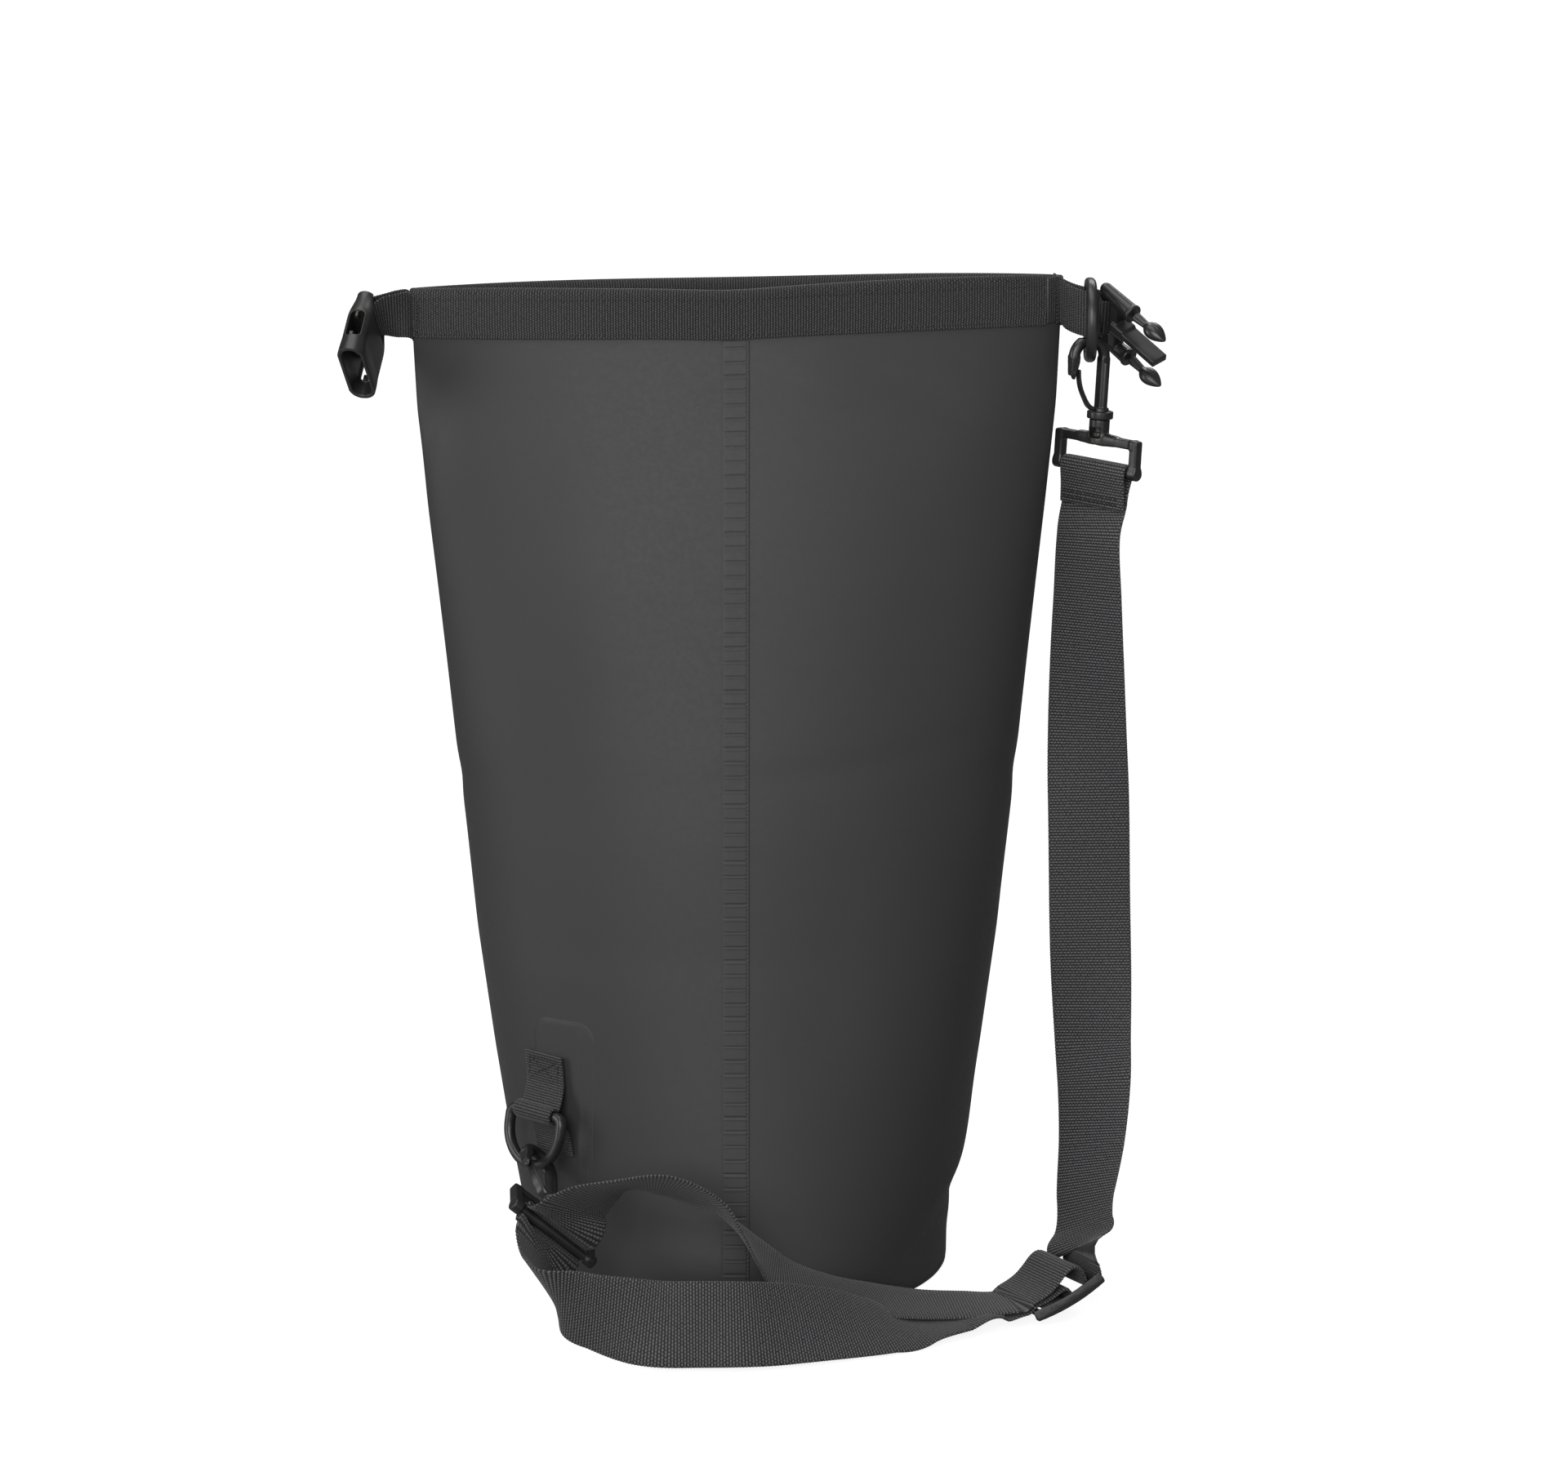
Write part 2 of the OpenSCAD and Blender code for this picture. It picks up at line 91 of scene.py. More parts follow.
# ---------------------------------------------------------------- curves
def spline(points, step):
    """Points about `step` apart along a smooth curve through `points`; extra columns ride along."""
    points = np.asarray(points, float)
    gaps = np.linalg.norm(np.diff(points[:, :3], axis=0), axis=1)
    at = np.concatenate([[0], np.cumsum(gaps)])
    slope = np.empty_like(points)
    slope[1:-1] = (points[2:] - points[:-2]) / (at[2:] - at[:-2])[:, None]
    slope[0] = (points[1] - points[0]) / gaps[0]
    slope[-1] = (points[-1] - points[-2]) / gaps[-1]
    fine = np.linspace(0, at[-1], int(at[-1] / min(step, 1.0)) * 4 + 8)
    i = np.clip(np.searchsorted(at, fine, side="right") - 1, 0, len(points) - 2)
    h = gaps[i][:, None]
    t = ((fine - at[i]) / gaps[i])[:, None]
    curve = (
        points[i] * (1 + 2 * t) * (1 - t) ** 2
        + points[i + 1] * t * t * (3 - 2 * t)
        + slope[i] * h * t * (1 - t) ** 2
        + slope[i + 1] * h * t * t * (t - 1)
    )
    return resample(curve, step)


def resample(curve, step):
    """The same curve, with points evenly spaced along its first three columns."""
    gaps = np.linalg.norm(np.diff(curve[:, :3], axis=0), axis=1)
    at = np.concatenate([[0], np.cumsum(gaps)])
    even = np.linspace(0, at[-1], max(2, int(round(at[-1] / step)) + 1))
    return np.stack([np.interp(even, at, curve[:, k]) for k in range(curve.shape[1])], 1)


def length_of(curve):
    return float(np.linalg.norm(np.diff(curve[:, :3], axis=0), axis=1).sum())


# ---------------------------------------------------------------- meshes
def add_piece(name, points, faces, material, body, replaces=(), weave=None):
    """A mesh piece from points in millimetres. It rides on a body and may stand for CAD nodes."""
    mesh = bpy.data.meshes.new(name)
    mesh.from_pydata((np.asarray(points, float) * MM).tolist(), [], faces)
    mesh.validate()
    mesh.materials.append(material)
    mesh.polygons.foreach_set("use_smooth", [True] * len(mesh.polygons))
    if weave is not None:
        data = mesh.attributes.new("weave", "FLOAT_VECTOR", "POINT").data
        data.foreach_set("vector", np.asarray(weave, np.float32).ravel())
    piece = bpy.data.objects.new(name, mesh)
    bpy.context.scene.collection.objects.link(piece)
    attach(piece, body)
    if replaces:
        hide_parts(*replaces)
    return piece


def grid_faces(m, n, closed=False, start=0):
    """Quads between m rows of n points; closed joins each row's end to its start."""
    faces = []
    for i in range(m - 1):
        for j in range(n if closed else n - 1):
            k = (j + 1) % n
            a, b = start + i * n, start + (i + 1) * n
            faces.append((a + j, a + k, b + k, b + j))
    return faces


def loft(rings):
    """A closed skin through rings of equal length, capped at both ends, as points and faces."""
    rings = np.asarray(rings, float)
    m, n = rings.shape[:2]
    faces = grid_faces(m, n, closed=True)
    faces.append(tuple(reversed(range(n))))
    faces.append(tuple(range((m - 1) * n, m * n)))
    return rings.reshape(-1, 3), faces


def joined(parts):
    """Several (points, faces) as one."""
    points, faces, start = [], [], 0
    for p, f in parts:
        points.append(p)
        faces += [tuple(i + start for i in face) for face in f]
        start += len(p)
    return np.concatenate(points), faces


def slab(top, bottom):
    """A closed sheet between two grids of points, (m, n, 3) each; top is the outer one."""
    m, n = top.shape[:2]
    total = m * n
    faces = grid_faces(m, n)
    faces += [tuple(reversed(f)) for f in grid_faces(m, n, start=total)]
    rim = [(0, j) for j in range(n)]
    rim += [(i, n - 1) for i in range(1, m)]
    rim += [(m - 1, j) for j in range(n - 2, -1, -1)]
    rim += [(i, 0) for i in range(m - 2, 0, -1)]
    for (i, j), (k, l) in zip(rim, rim[1:] + rim[:1]):
        a, b = i * n + j, k * n + l
        faces.append((b, a, a + total, b + total))
    return np.concatenate([top.reshape(-1, 3), bottom.reshape(-1, 3)]), faces


# ---------------------------------------------------------------- moulded shapes from distance fields
def carve(field, low, high, step):
    """The surface where field is 0, negative inside, as points and quads (naive surface nets)."""
    low = np.asarray(low, float)
    size = np.ceil((np.asarray(high, float) - low) / step).astype(int) + 1
    ticks = [low[k] + step * np.arange(size[k]) for k in range(3)]
    d = field(np.stack(np.meshgrid(*ticks, indexing="ij"), -1))
    inside = d < 0
    cells = size - 1
    total = np.zeros(tuple(cells) + (3,))
    count = np.zeros(tuple(cells))
    crossings = []
    for axis in range(3):
        near = [slice(None)] * 3
        far = [slice(None)] * 3
        near[axis] = slice(0, -1)
        far[axis] = slice(1, None)
        a, b = d[tuple(near)], d[tuple(far)]
        hit = np.argwhere(inside[tuple(near)] != inside[tuple(far)])
        da, db = a[tuple(hit.T)], b[tuple(hit.T)]
        at = hit.astype(float)
        at[:, axis] += da / (da - db)
        u, v = (axis + 1) % 3, (axis + 2) % 3
        for du in (0, -1):
            for dv in (0, -1):
                cell = hit.copy()
                cell[:, u] += du
                cell[:, v] += dv
                good = np.all((cell >= 0) & (cell < cells), axis=1)
                np.add.at(total, tuple(cell[good].T), at[good])
                np.add.at(count, tuple(cell[good].T), 1)
        crossings.append((hit, da < 0, u, v))
    used = count > 0
    index = np.full(tuple(cells), -1)
    index[used] = np.arange(used.sum())
    points = low + step * (total[used] / count[used][:, None])
    faces = []
    for hit, outward, u, v in crossings:
        inner = np.all((hit[:, [u, v]] > 0) & (hit[:, [u, v]] < size[[u, v]] - 1), axis=1)
        corners = []
        for du, dv in ((-1, -1), (0, -1), (0, 0), (-1, 0)):
            cell = hit[inner].copy()
            cell[:, u] += du
            cell[:, v] += dv
            corners.append(index[tuple(cell.T)])
        quad = np.stack(corners, 1)
        out = outward[inner]
        faces += quad[out].tolist()
        faces += quad[~out][:, ::-1].tolist()
    return points, faces


def rounded_box(p, centre, half, r=0.4):
    q = np.abs(p - np.asarray(centre, float)) - (np.asarray(half, float) - r)
    return np.linalg.norm(np.maximum(q, 0), axis=-1) + np.minimum(q.max(-1), 0) - r


def rod(p, a, b, ra, rb=None, squash=(1, 1, 1)):
    """A round bar from a to b whose radius runs from ra to rb, flattened by squash."""
    rb = ra if rb is None else rb
    scale = np.asarray(squash, float)
    p, a, b = p / scale, np.asarray(a, float) / scale, np.asarray(b, float) / scale
    ab = b - a
    t = np.clip(((p - a) @ ab) / (ab @ ab), 0, 1)
    return (np.linalg.norm(p - a - t[..., None] * ab, axis=-1) - (ra + (rb - ra) * t)) * scale.min()


def drum(p, centre, axis, r, half, edge=0.3):
    """A flat-ended round disc or barrel with softened edges, along x, y or z."""
    q = p - np.asarray(centre, float)
    side = np.linalg.norm(np.delete(q, axis, -1), axis=-1) - (r - edge)
    end = np.abs(q[..., axis]) - (half - edge)
    outer = np.hypot(np.maximum(side, 0), np.maximum(end, 0))
    return outer + np.minimum(np.maximum(side, end), 0) - edge


def blend_add(a, b, k=0.5):
    h = np.clip(0.5 + 0.5 * (b - a) / k, 0, 1)
    return b + (a - b) * h - k * h * (1 - h)


def blend_cut(a, b, k=0.4):
    """a with b taken away."""
    return -blend_add(-a, b, k)


def blend_all(fields, k=0.5):
    total = fields[0]
    for f in fields[1:]:
        total = blend_add(total, f, k)
    return total


KEPT_FACES = 0.35


def moulded(name, field, low, high, spot, body, replaces, step=0.33):
    """A moulded plastic piece: a distance field in its local frame, carved and thinned."""
    points, faces = carve(field, low, high, step)
    piece = add_piece(name, spot.world(points), faces, PLASTIC, body, replaces)
    thin = piece.modifiers.new("thin", "DECIMATE")
    thin.ratio = KEPT_FACES
    dg = bpy.context.evaluated_depsgraph_get()
    mesh = bpy.data.meshes.new_from_object(piece.evaluated_get(dg))
    piece.modifiers.clear()
    piece.data = mesh
    mesh.polygons.foreach_set("use_smooth", [True] * len(mesh.polygons))
    return piece


# ---------------------------------------------------------------- materials
class Nodes:
    """A material's node tree, with short calls for the nodes that the finishes share."""

    def __init__(self, name, roughness, specular):
        self.material = bpy.data.materials.new(name)
        self.material.use_nodes = True
        self.tree = self.material.node_tree
        self.bsdf = self.tree.nodes["Principled BSDF"]
        self.bsdf.inputs["Roughness"].default_value = roughness
        self.bsdf.inputs["Specular IOR Level"].default_value = specular

    def link(self, source, target):
        self.tree.links.new(source, target)

    def math(self, operation, a, b=None):
        node = self.tree.nodes.new("ShaderNodeMath")
        node.operation = operation
        for socket, value in zip(node.inputs, (a, b)):
            if isinstance(value, (int, float)):
                socket.default_value = value
            elif value is not None:
                self.link(value, socket)
        return node.outputs[0]

    def place(self):
        return self.tree.nodes.new("ShaderNodeTexCoord").outputs["Object"]

    def noise(self, scale, detail, vector=None):
        """Noise from 0 to 1 at so many features a metre."""
        node = self.tree.nodes.new("ShaderNodeTexNoise")
        node.inputs["Scale"].default_value = scale
        node.inputs["Detail"].default_value = detail
        self.link(vector or self.place(), node.inputs["Vector"])
        return node.outputs["Fac"]

    def attribute(self, name):
        node = self.tree.nodes.new("ShaderNodeAttribute")
        node.attribute_name = name
        return node.outputs["Vector"]

    def parts(self, vector):
        node = self.tree.nodes.new("ShaderNodeSeparateXYZ")
        self.link(vector, node.inputs[0])
        return node.outputs

    def ramp(self, factor, low, high, dark, light):
        node = self.tree.nodes.new("ShaderNodeMapRange")
        node.inputs["From Min"].default_value = low
        node.inputs["From Max"].default_value = high
        node.inputs["To Min"].default_value = dark
        node.inputs["To Max"].default_value = light
        self.link(factor, node.inputs["Value"])
        return node.outputs[0]

    def tint(self, value, dark, light):
        """A colour between dark and light by a 0 to 1 value, into the base colour."""
        node = self.tree.nodes.new("ShaderNodeMix")
        node.data_type = "RGBA"
        node.inputs["A"].default_value = (*dark, 1)
        node.inputs["B"].default_value = (*light, 1)
        self.link(value, node.inputs["Factor"])
        self.link(node.outputs["Result"], self.bsdf.inputs["Base Color"])

    def bump(self, height, distance, strength=1.0):
        node = self.tree.nodes.new("ShaderNodeBump")
        node.inputs["Distance"].default_value = distance
        node.inputs["Strength"].default_value = strength
        self.link(height, node.inputs["Height"])
        self.link(node.outputs["Normal"], self.bsdf.inputs["Normal"])


def coated_cloth():
    """Matt polymer-coated cloth: the weave shows only as a faint grain."""
    n = Nodes("coated_cloth", 0.55, 0.28)
    blotch = n.noise(9, 4)
    grain = n.noise(1700, 2)
    fine = n.noise(420, 3)
    mix = n.math("ADD", n.math("MULTIPLY", blotch, 0.7), n.math("MULTIPLY", grain, 0.3))
    n.tint(n.ramp(mix, 0.3, 0.7, 0.0, 1.0), (0.030, 0.030, 0.0302), (0.036, 0.036, 0.0362))
    n.link(n.ramp(fine, 0.3, 0.7, 0.52, 0.58), n.bsdf.inputs["Roughness"])
    height = n.math("ADD", n.math("MULTIPLY", grain, 0.45), n.math("MULTIPLY", fine, 0.35))
    n.bump(height, 0.00008, 0.4)
    return n.material


def webbing(name, rib, bead, dark, light):
    """Ribbed webbing: each rib across the strap is broken into staggered picks of yarn, and its colour
    is painted shade, darker in the troughs and lighter on the crests.
    """
    n = Nodes(name, 0.72, 0.25)
    across, along, _ = n.parts(n.attribute("weave"))
    row = n.math("DIVIDE", along, rib)
    nearest = n.math("FLOOR", n.math("ADD", row, 0.5))
    ridge = n.math("COSINE", n.math("MULTIPLY", row, 2 * math.pi))
    odd = n.math("FRACT", n.math("MULTIPLY", nearest, 0.5))
    turn = n.math("MULTIPLY", n.math("ADD", n.math("DIVIDE", across, bead), odd), 2 * math.pi)
    picks = n.math("COSINE", turn)
    uneven = n.noise(0.9, 2, n.attribute("weave"))
    ridge01 = n.math("ADD", n.math("MULTIPLY", ridge, 0.5), 0.5)
    picks01 = n.math("ADD", n.math("MULTIPLY", picks, 0.3), 0.7)
    height = n.math("MULTIPLY", ridge01, picks01)
    # Painted shade: the colour follows the rib height, dark in the troughs between ribs and picks and
    # light on their crests, plus a random unevenness of the yarn's tone.
    rib_shade_and_yarn_tone = n.math("ADD", height, n.math("MULTIPLY", n.math("SUBTRACT", uneven, 0.5), 0.9))
    n.tint(n.ramp(rib_shade_and_yarn_tone, 0.2, 0.8, 0.0, 1.0), dark, light)
    n.bump(n.math("ADD", height, n.math("MULTIPLY", uneven, 0.35)), 0.00022, 0.8)
    n.bsdf.inputs["Sheen Weight"].default_value = 0.12
    n.bsdf.inputs["Sheen Roughness"].default_value = 0.5
    return n.material


def plastic():
    """Satin black acetal, with a faint moulded grain and rubbed patches."""
    n = Nodes("hardware_plastic", 0.34, 0.5)
    rubbed = n.noise(60, 4)
    grain = n.noise(2600, 2)
    n.tint(n.ramp(rubbed, 0.35, 0.7, 0.0, 1.0), (0.0125, 0.0122, 0.012), (0.0205, 0.0198, 0.0193))
    n.link(n.ramp(rubbed, 0.3, 0.7, 0.28, 0.42), n.bsdf.inputs["Roughness"])
    n.bump(grain, 0.00002, 0.35)
    return n.material


def thread():
    n = Nodes("thread", 0.6, 0.3)
    n.tint(n.noise(3000, 2), (0.018, 0.018, 0.018), (0.036, 0.036, 0.036))
    return n.material


BAND_RIB = 1.25
STRAP_RIB = 1.33
CLOTH = coated_cloth()
# Each webbing's dark colour is the painted shade of its rib troughs, and its light colour the painted
# light on its rib crests.
BAND_WEB = webbing("band_webbing", BAND_RIB, 1.15, (0.009, 0.009, 0.009), (0.070, 0.070, 0.071))
STRAP_WEB = webbing("strap_webbing", STRAP_RIB, 1.6, (0.012, 0.012, 0.0125), (0.112, 0.112, 0.117))
PLASTIC = plastic()
THREAD = thread()

# ---------------------------------------------------------------- the soft tube's shape
BASE_R = float(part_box("base_disc")[1].x) / MM + 1.35
RIM_Z = 463.0
MOUTH_HALF = 150.0
MOUTH_BACK = 14.0
SKIN = 1.0
BAND_W = 21.5
WIDTH_AT = np.array([
    [0, BASE_R], [18, 99.7], [39, 103.9], [70, 109.3], [107, 115], [163, 122.6], [214, 127.6],
    [253, 132], [292, 136], [331, 140.2], [362, 143.6], [407, 148.2], [445, MOUTH_HALF],
    [RIM_Z + 5, MOUTH_HALF]])
DEPTH_AT = np.array([
    [0, BASE_R], [18, 99.4], [39, 95], [70, 89.2], [107, 82.7], [163, 73.8], [214, 68],
    [253, 62.5], [292, 56], [331, 49], [362, 42.5], [407, 33.5], [445, 28], [RIM_Z + 5, 27]])


def smooth_table(table):
    """A table's values at each millimetre, averaged so that its corners are round."""
    reach = 9
    z = np.arange(0, RIM_Z + 12, 1.0)
    value = np.interp(z, table[:, 0], table[:, 1])
    kernel = np.hanning(2 * reach + 1)
    padded = np.pad(value, reach, mode="reflect", reflect_type="odd")
    return z, np.convolve(padded, kernel / kernel.sum(), mode="valid")


WIDTH = smooth_table(WIDTH_AT)
DEPTH = smooth_table(DEPTH_AT)


def bump_at(z, phi, z0, phi0, dz, dphi, tilt=0.0):
    """A soft hill on the tube, 1 at its middle; tilt slants it."""
    p = (phi - phi0 + 180) % 360 - 180
    return np.exp(-(((z - z0 - tilt * p) / dz) ** 2) - (p / dphi) ** 2)


def sag(z, phi):
    """How far the cloth stands out of its plain section, with the creases of a soft tube."""
    out = np.zeros(np.broadcast(z, phi).shape)
    for z0, phi0, dz, dphi, tilt, high in (
        (38, 2, 9, 24, 0.0, -2.4),
        (26, -22, 10, 16, 0.25, -1.5),
        (60, -8, 22, 18, 0.3, 1.2),
        (236, 178, 8, 22, 0.0, -0.8),
        (238, -8, 9, 20, -0.15, -0.9),
        (214, -20, 26, 20, 0.2, 1.0),
        (250, -60, 7, 30, 0.25, -0.5),
        (405, -164, 16, 12, 0.8, -2.0),
        (385, -150, 26, 18, 0.9, 1.3),
        (425, -62, 7, 14, -0.9, -0.9),
        (418, -74, 6, 12, -0.9, 0.7),
        (400, -40, 30, 18, 0.5, 1.4),
        (330, -116, 70, 14, 0.3, 1.6),
        (300, -50, 60, 14, -0.3, -1.2),
        (150, -70, 50, 12, 0.2, -0.8),
        (120, -40, 60, 16, 0.4, 1.0),
        (330, 60, 40, 18, 0.6, -2.0),
        (240, 110, 50, 22, -0.5, 2.0),
        (150, 70, 30, 26, 0.4, -1.4),
        (380, 130, 30, 14, 0.7, -1.6),
        (420, 80, 14, 20, -0.5, 1.2),
        (80, 120, 22, 24, 0.3, -1.2),
    ):
        out = out + high * bump_at(z, phi, z0, phi0, dz, dphi, tilt)
    near_ends = smoothstep(z, 6, 26) * (1 - smoothstep(z, RIM_Z - 34, RIM_Z - 16))
    return out * near_ends


def roundness(z):
    return 0.5 + 0.25 * np.clip((z - 150) / 300, 0, 1)


def rim_wave(phi):
    """The front rim dips a little left of its middle and rises to the right."""
    front = np.clip(-np.sin(np.radians(phi)), 0, 1)
    x = np.cos(np.radians(phi))
    return front * (-1.0 * np.exp(-((x + 0.02) / 0.16) ** 2) + 1.6 * smoothstep(x, -0.1, 0.9))


def skin_at(z, phi, out=0.0):
    """A point on the tube at a height and an angle, so far outside its face."""
    z, phi = np.broadcast_arrays(np.asarray(z, float), np.asarray(phi, float))
    t = np.radians(phi)
    a = np.interp(z, *WIDTH) + out
    b = np.interp(z, *DEPTH) + out
    s = np.sin(t)
    x = a * np.cos(t)
    y = b * np.sign(s) * np.abs(s) ** (2 * roundness(z)) + MOUTH_BACK * (z / RIM_Z) ** 2
    puff = sag(z, phi)
    x = x + puff * np.cos(t)
    y = y + puff * s
    lift = (z / RIM_Z) ** 2
    top = smoothstep(z, 330, RIM_Z)
    return np.stack([x, y, z + 0.02 * x * lift + rim_wave(phi) * top], -1)


def angle_at(x, z):
    """The angle on the seam's side at which the tube has that x."""
    return -np.degrees(np.arccos(np.clip(x / np.interp(z, *WIDTH), -1, 1)))


def even_angles(z, start, end, step):
    """Angles from start to end, `step` apart along the tube at that height."""
    phi = np.linspace(start, end, 1500)
    curve = np.column_stack([skin_at(z, phi), phi])
    return resample(curve, step)[:, 3]


# ---------------------------------------------------------------- soft pieces
def make_tube():
    phi = even_angles(300, -90, 270, 2.4)[:-1]
    heights = np.concatenate([[0, 0.5, 1.4], np.arange(3.5, RIM_Z, 3.0), [RIM_Z]])
    corner = np.interp(heights, [0, 0.5, 1.4, 3.5], [-1.6, -0.75, -0.2, 0])
    outer = np.array([skin_at(z, phi, c) for z, c in zip(heights, corner)])
    inner = np.array([skin_at(z, phi, c - SKIN) for z, c in zip(heights, corner)])
    inner[0, :, 2] = 0.2
    rings = np.concatenate([outer, inner[::-1], outer[:1]])
    m, n = rings.shape[:2]
    faces = grid_faces(m - 1, n, closed=True)
    last = (m - 2) * n
    faces += [(last + j, last + (j + 1) % n, (j + 1) % n, j) for j in range(n)]
    tube = add_piece("tube_cloth", rings[:-1].reshape(-1, 3), faces, CLOTH, BAG,
                     ("bag_tube",))
    return tube


def make_seam():
    """The welded overlap: a raised strip, crisp on its right, crossed by pressed bars."""
    pitch, top = 6.4, RIM_Z - BAND_W - 0.3
    across = np.concatenate([
        [-6.6, -6.2, -5.7], np.linspace(-5.2, 4.3, 11), [4.7, 5.0, 5.25, 5.5, 5.7, 5.9, 6.05, 6.3]])
    heights = np.arange(3.0, top, 0.3)
    z, u = np.meshgrid(heights, across, indexing="ij")
    phi = -90 + np.degrees(np.arcsin(u / np.interp(z, *WIDTH)))
    raised = 0.34 * smoothstep(u, -6.6, -4.9) * (1 - smoothstep(u, 5.9, 6.25))
    inset = smoothstep(u, -5.6, -5.0) * (1 - smoothstep(u, 4.9, 5.3))
    step = (top - z + 0.5 * pitch + 0.25 * np.sin(z * 1.7)) / pitch
    bar = np.abs(step - np.round(step)) * pitch
    below = (step - np.round(step)) * pitch
    pressed = 0.33 * np.exp(-(bar / 0.27) ** 2) - 0.12 * np.exp(-((below - 0.8) / 0.45) ** 2)
    dots = 0.11 * np.cos(2 * math.pi * z / 1.8)
    edge_line = (0.2 + dots) * np.exp(-((u - 5.25) / 0.28) ** 2)
    out = raised - pressed * inset - edge_line
    sheet_top = skin_at(z, phi, 0.02 + out)
    points, faces = slab(sheet_top, skin_at(z, phi, -0.5))
    return add_piece("seam_weld", points, faces, CLOTH, BAG, ("back_seam",))


def make_patch():
    """The welded patch under the lower tab, with a stitched edge and rounded corners."""
    low_z, high_z, turn = 50.0, 131.0, 9.0
    z, x = np.meshgrid(np.arange(low_z - 1, high_z + 1.2, 0.7),
                       np.arange(-20.4, 20.6, 0.6), indexing="ij")
    middle = angle_at(-80.5, z)
    reach = np.interp(z, *WIDTH) * 0.95
    phi = middle + np.degrees(x / reach)
    half_w, half_h = 18.6, (high_z - low_z) / 2
    qx = np.abs(x) - (half_w - turn)
    qz = np.abs(z - (high_z + low_z) / 2) - (half_h - turn)
    inside = turn - np.hypot(np.maximum(qx, 0), np.maximum(qz, 0)) - np.minimum(np.maximum(qx, qz), 0)
    stitch = (0.3 + 0.12 * np.cos(2 * math.pi * z / 2.1)) * np.exp(-((inside - 1.1) / 0.35) ** 2)
    fold = 0.22 * np.exp(-((x - 11.5) / 1.1) ** 2) * smoothstep(inside, 2, 6)
    out = 0.72 * smoothstep(inside, -0.2, 0.4) - 0.25 - stitch + fold
    points, faces = slab(skin_at(z, phi, out), skin_at(z, phi, -0.6))
    return add_piece("tab_patch", points, faces, CLOTH, BAG, ("d_ring_patch",))


def weave_rows(across, along):
    """The weave attribute: millimetres across and along the webbing."""
    return np.stack([across, along, np.zeros_like(across)], -1)


def make_band(name, node, start, end, wave):
    """Webbing sewn round half of the mouth and rolled over the rim to the inside."""
    phi = even_angles(RIM_Z, start, end, BAND_RIB / 4)
    along = np.arange(len(phi)) * BAND_RIB / 4
    drop = np.concatenate([
        [0, 0.25, 0.9], np.linspace(2.2, BAND_W - 2.2, 9), [BAND_W - 1.2]])
    out_z = RIM_Z - BAND_W + drop
    thick = 1.35
    over = [(1.15, 0.1), (0.9, 0.95), (0.2, 1.5), (-0.9, 1.6), (-1.9, 1.2), (-2.5, 0.3)]
    inside_z = np.linspace(-1.5, -17, 6)
    rib = 0.18 * np.cos(2 * math.pi * along / BAND_RIB)
    rows = [skin_at(out_z[0], phi, 0.02)]
    widths = [0.0]
    for k, z in enumerate(out_z):
        swell = 0.75 if k == 0 else thick
        pinch = 0.45 * math.exp(-((drop[k] - 1.9) / 0.5) ** 2)
        roll = 0.35 * math.exp(-((drop[k] - (BAND_W - 3.4)) / 0.7) ** 2)
        rows.append(skin_at(z, phi, swell - pinch - roll + rib))
        widths.append(drop[k])
    for out, up in over:
        row = skin_at(RIM_Z, phi, out + rib * 0.8)
        row[:, 2] += up + 0.5 * wave * np.sin(along / 31.0)
        rows.append(row)
        widths.append(widths[-1] + 1.0)
    for down in inside_z:
        rows.append(skin_at(RIM_Z + down, phi, -3.2 + rib * 0.5))
        widths.append(widths[-1] + 3.1)
    rows.append(skin_at(RIM_Z - 17.2, phi, -2.2))
    widths.append(widths[-1] + 1.0)
    rows.append(skin_at(RIM_Z - 1.0, phi, -2.0))
    widths.append(widths[-2])
    grid = np.array(rows).transpose(1, 0, 2)
    across = np.tile(np.array(widths), (len(phi), 1))
    points, faces = loft(grid[:, ::-1])
    weave = weave_rows(across[:, ::-1], np.tile(along[:, None], (1, len(rows))))
    return add_piece(name, points, faces, BAND_WEB, BAG, (node,), weave.reshape(-1, 3))


def ribbon(name, stations, width, thick, rib, material, replaces=(), held=False):
    """Flat webbing along stations (centre, direction across), with real ribs and selvages.

    held keeps the stated directions across as they are, for short twisted loops."""
    stations = np.array([[*c, *w] for c, w in stations], float)
    path = spline(stations, rib / 4)
    centre, across = path[:, :3], path[:, 3:]
    tangent = unit(np.gradient(centre, axis=0))
    across = unit(across) if held else flat_to(across, tangent)
    normal = unit(np.cross(tangent, across))
    along = np.arange(len(path)) * length_of(path) / (len(path) - 1)
    crest = np.cos(2 * math.pi * along / rib)[:, None]
    half = np.array([-1, -0.975, -0.93, -0.6, -0.2, 0.2, 0.6, 0.93, 0.975, 1.0])
    bulge = np.array([0.0, 0.62, 0.92, 1.0, 1.0, 1.0, 1.0, 0.92, 0.62, 0.0])
    side = half * width / 2
    edge = (np.abs(half) > 0.96) * np.sign(half)
    u = np.concatenate([side, side[-2:0:-1]])
    e = np.concatenate([edge, edge[-2:0:-1]])
    lift = np.concatenate([bulge, -bulge[-2:0:-1]])
    wide = u + e * 0.12 * crest
    high = lift * (thick / 2 + 0.12 * crest)
    rings = (centre[:, None] + across[:, None] * wide[..., None] + normal[:, None] * high[..., None])
    points, faces = loft(rings)
    weave = weave_rows(np.broadcast_to(u, wide.shape), np.broadcast_to(along[:, None], wide.shape))
    piece = add_piece(name, points, faces, material, BAG, replaces, weave.reshape(-1, 3))
    return piece, length_of(path)


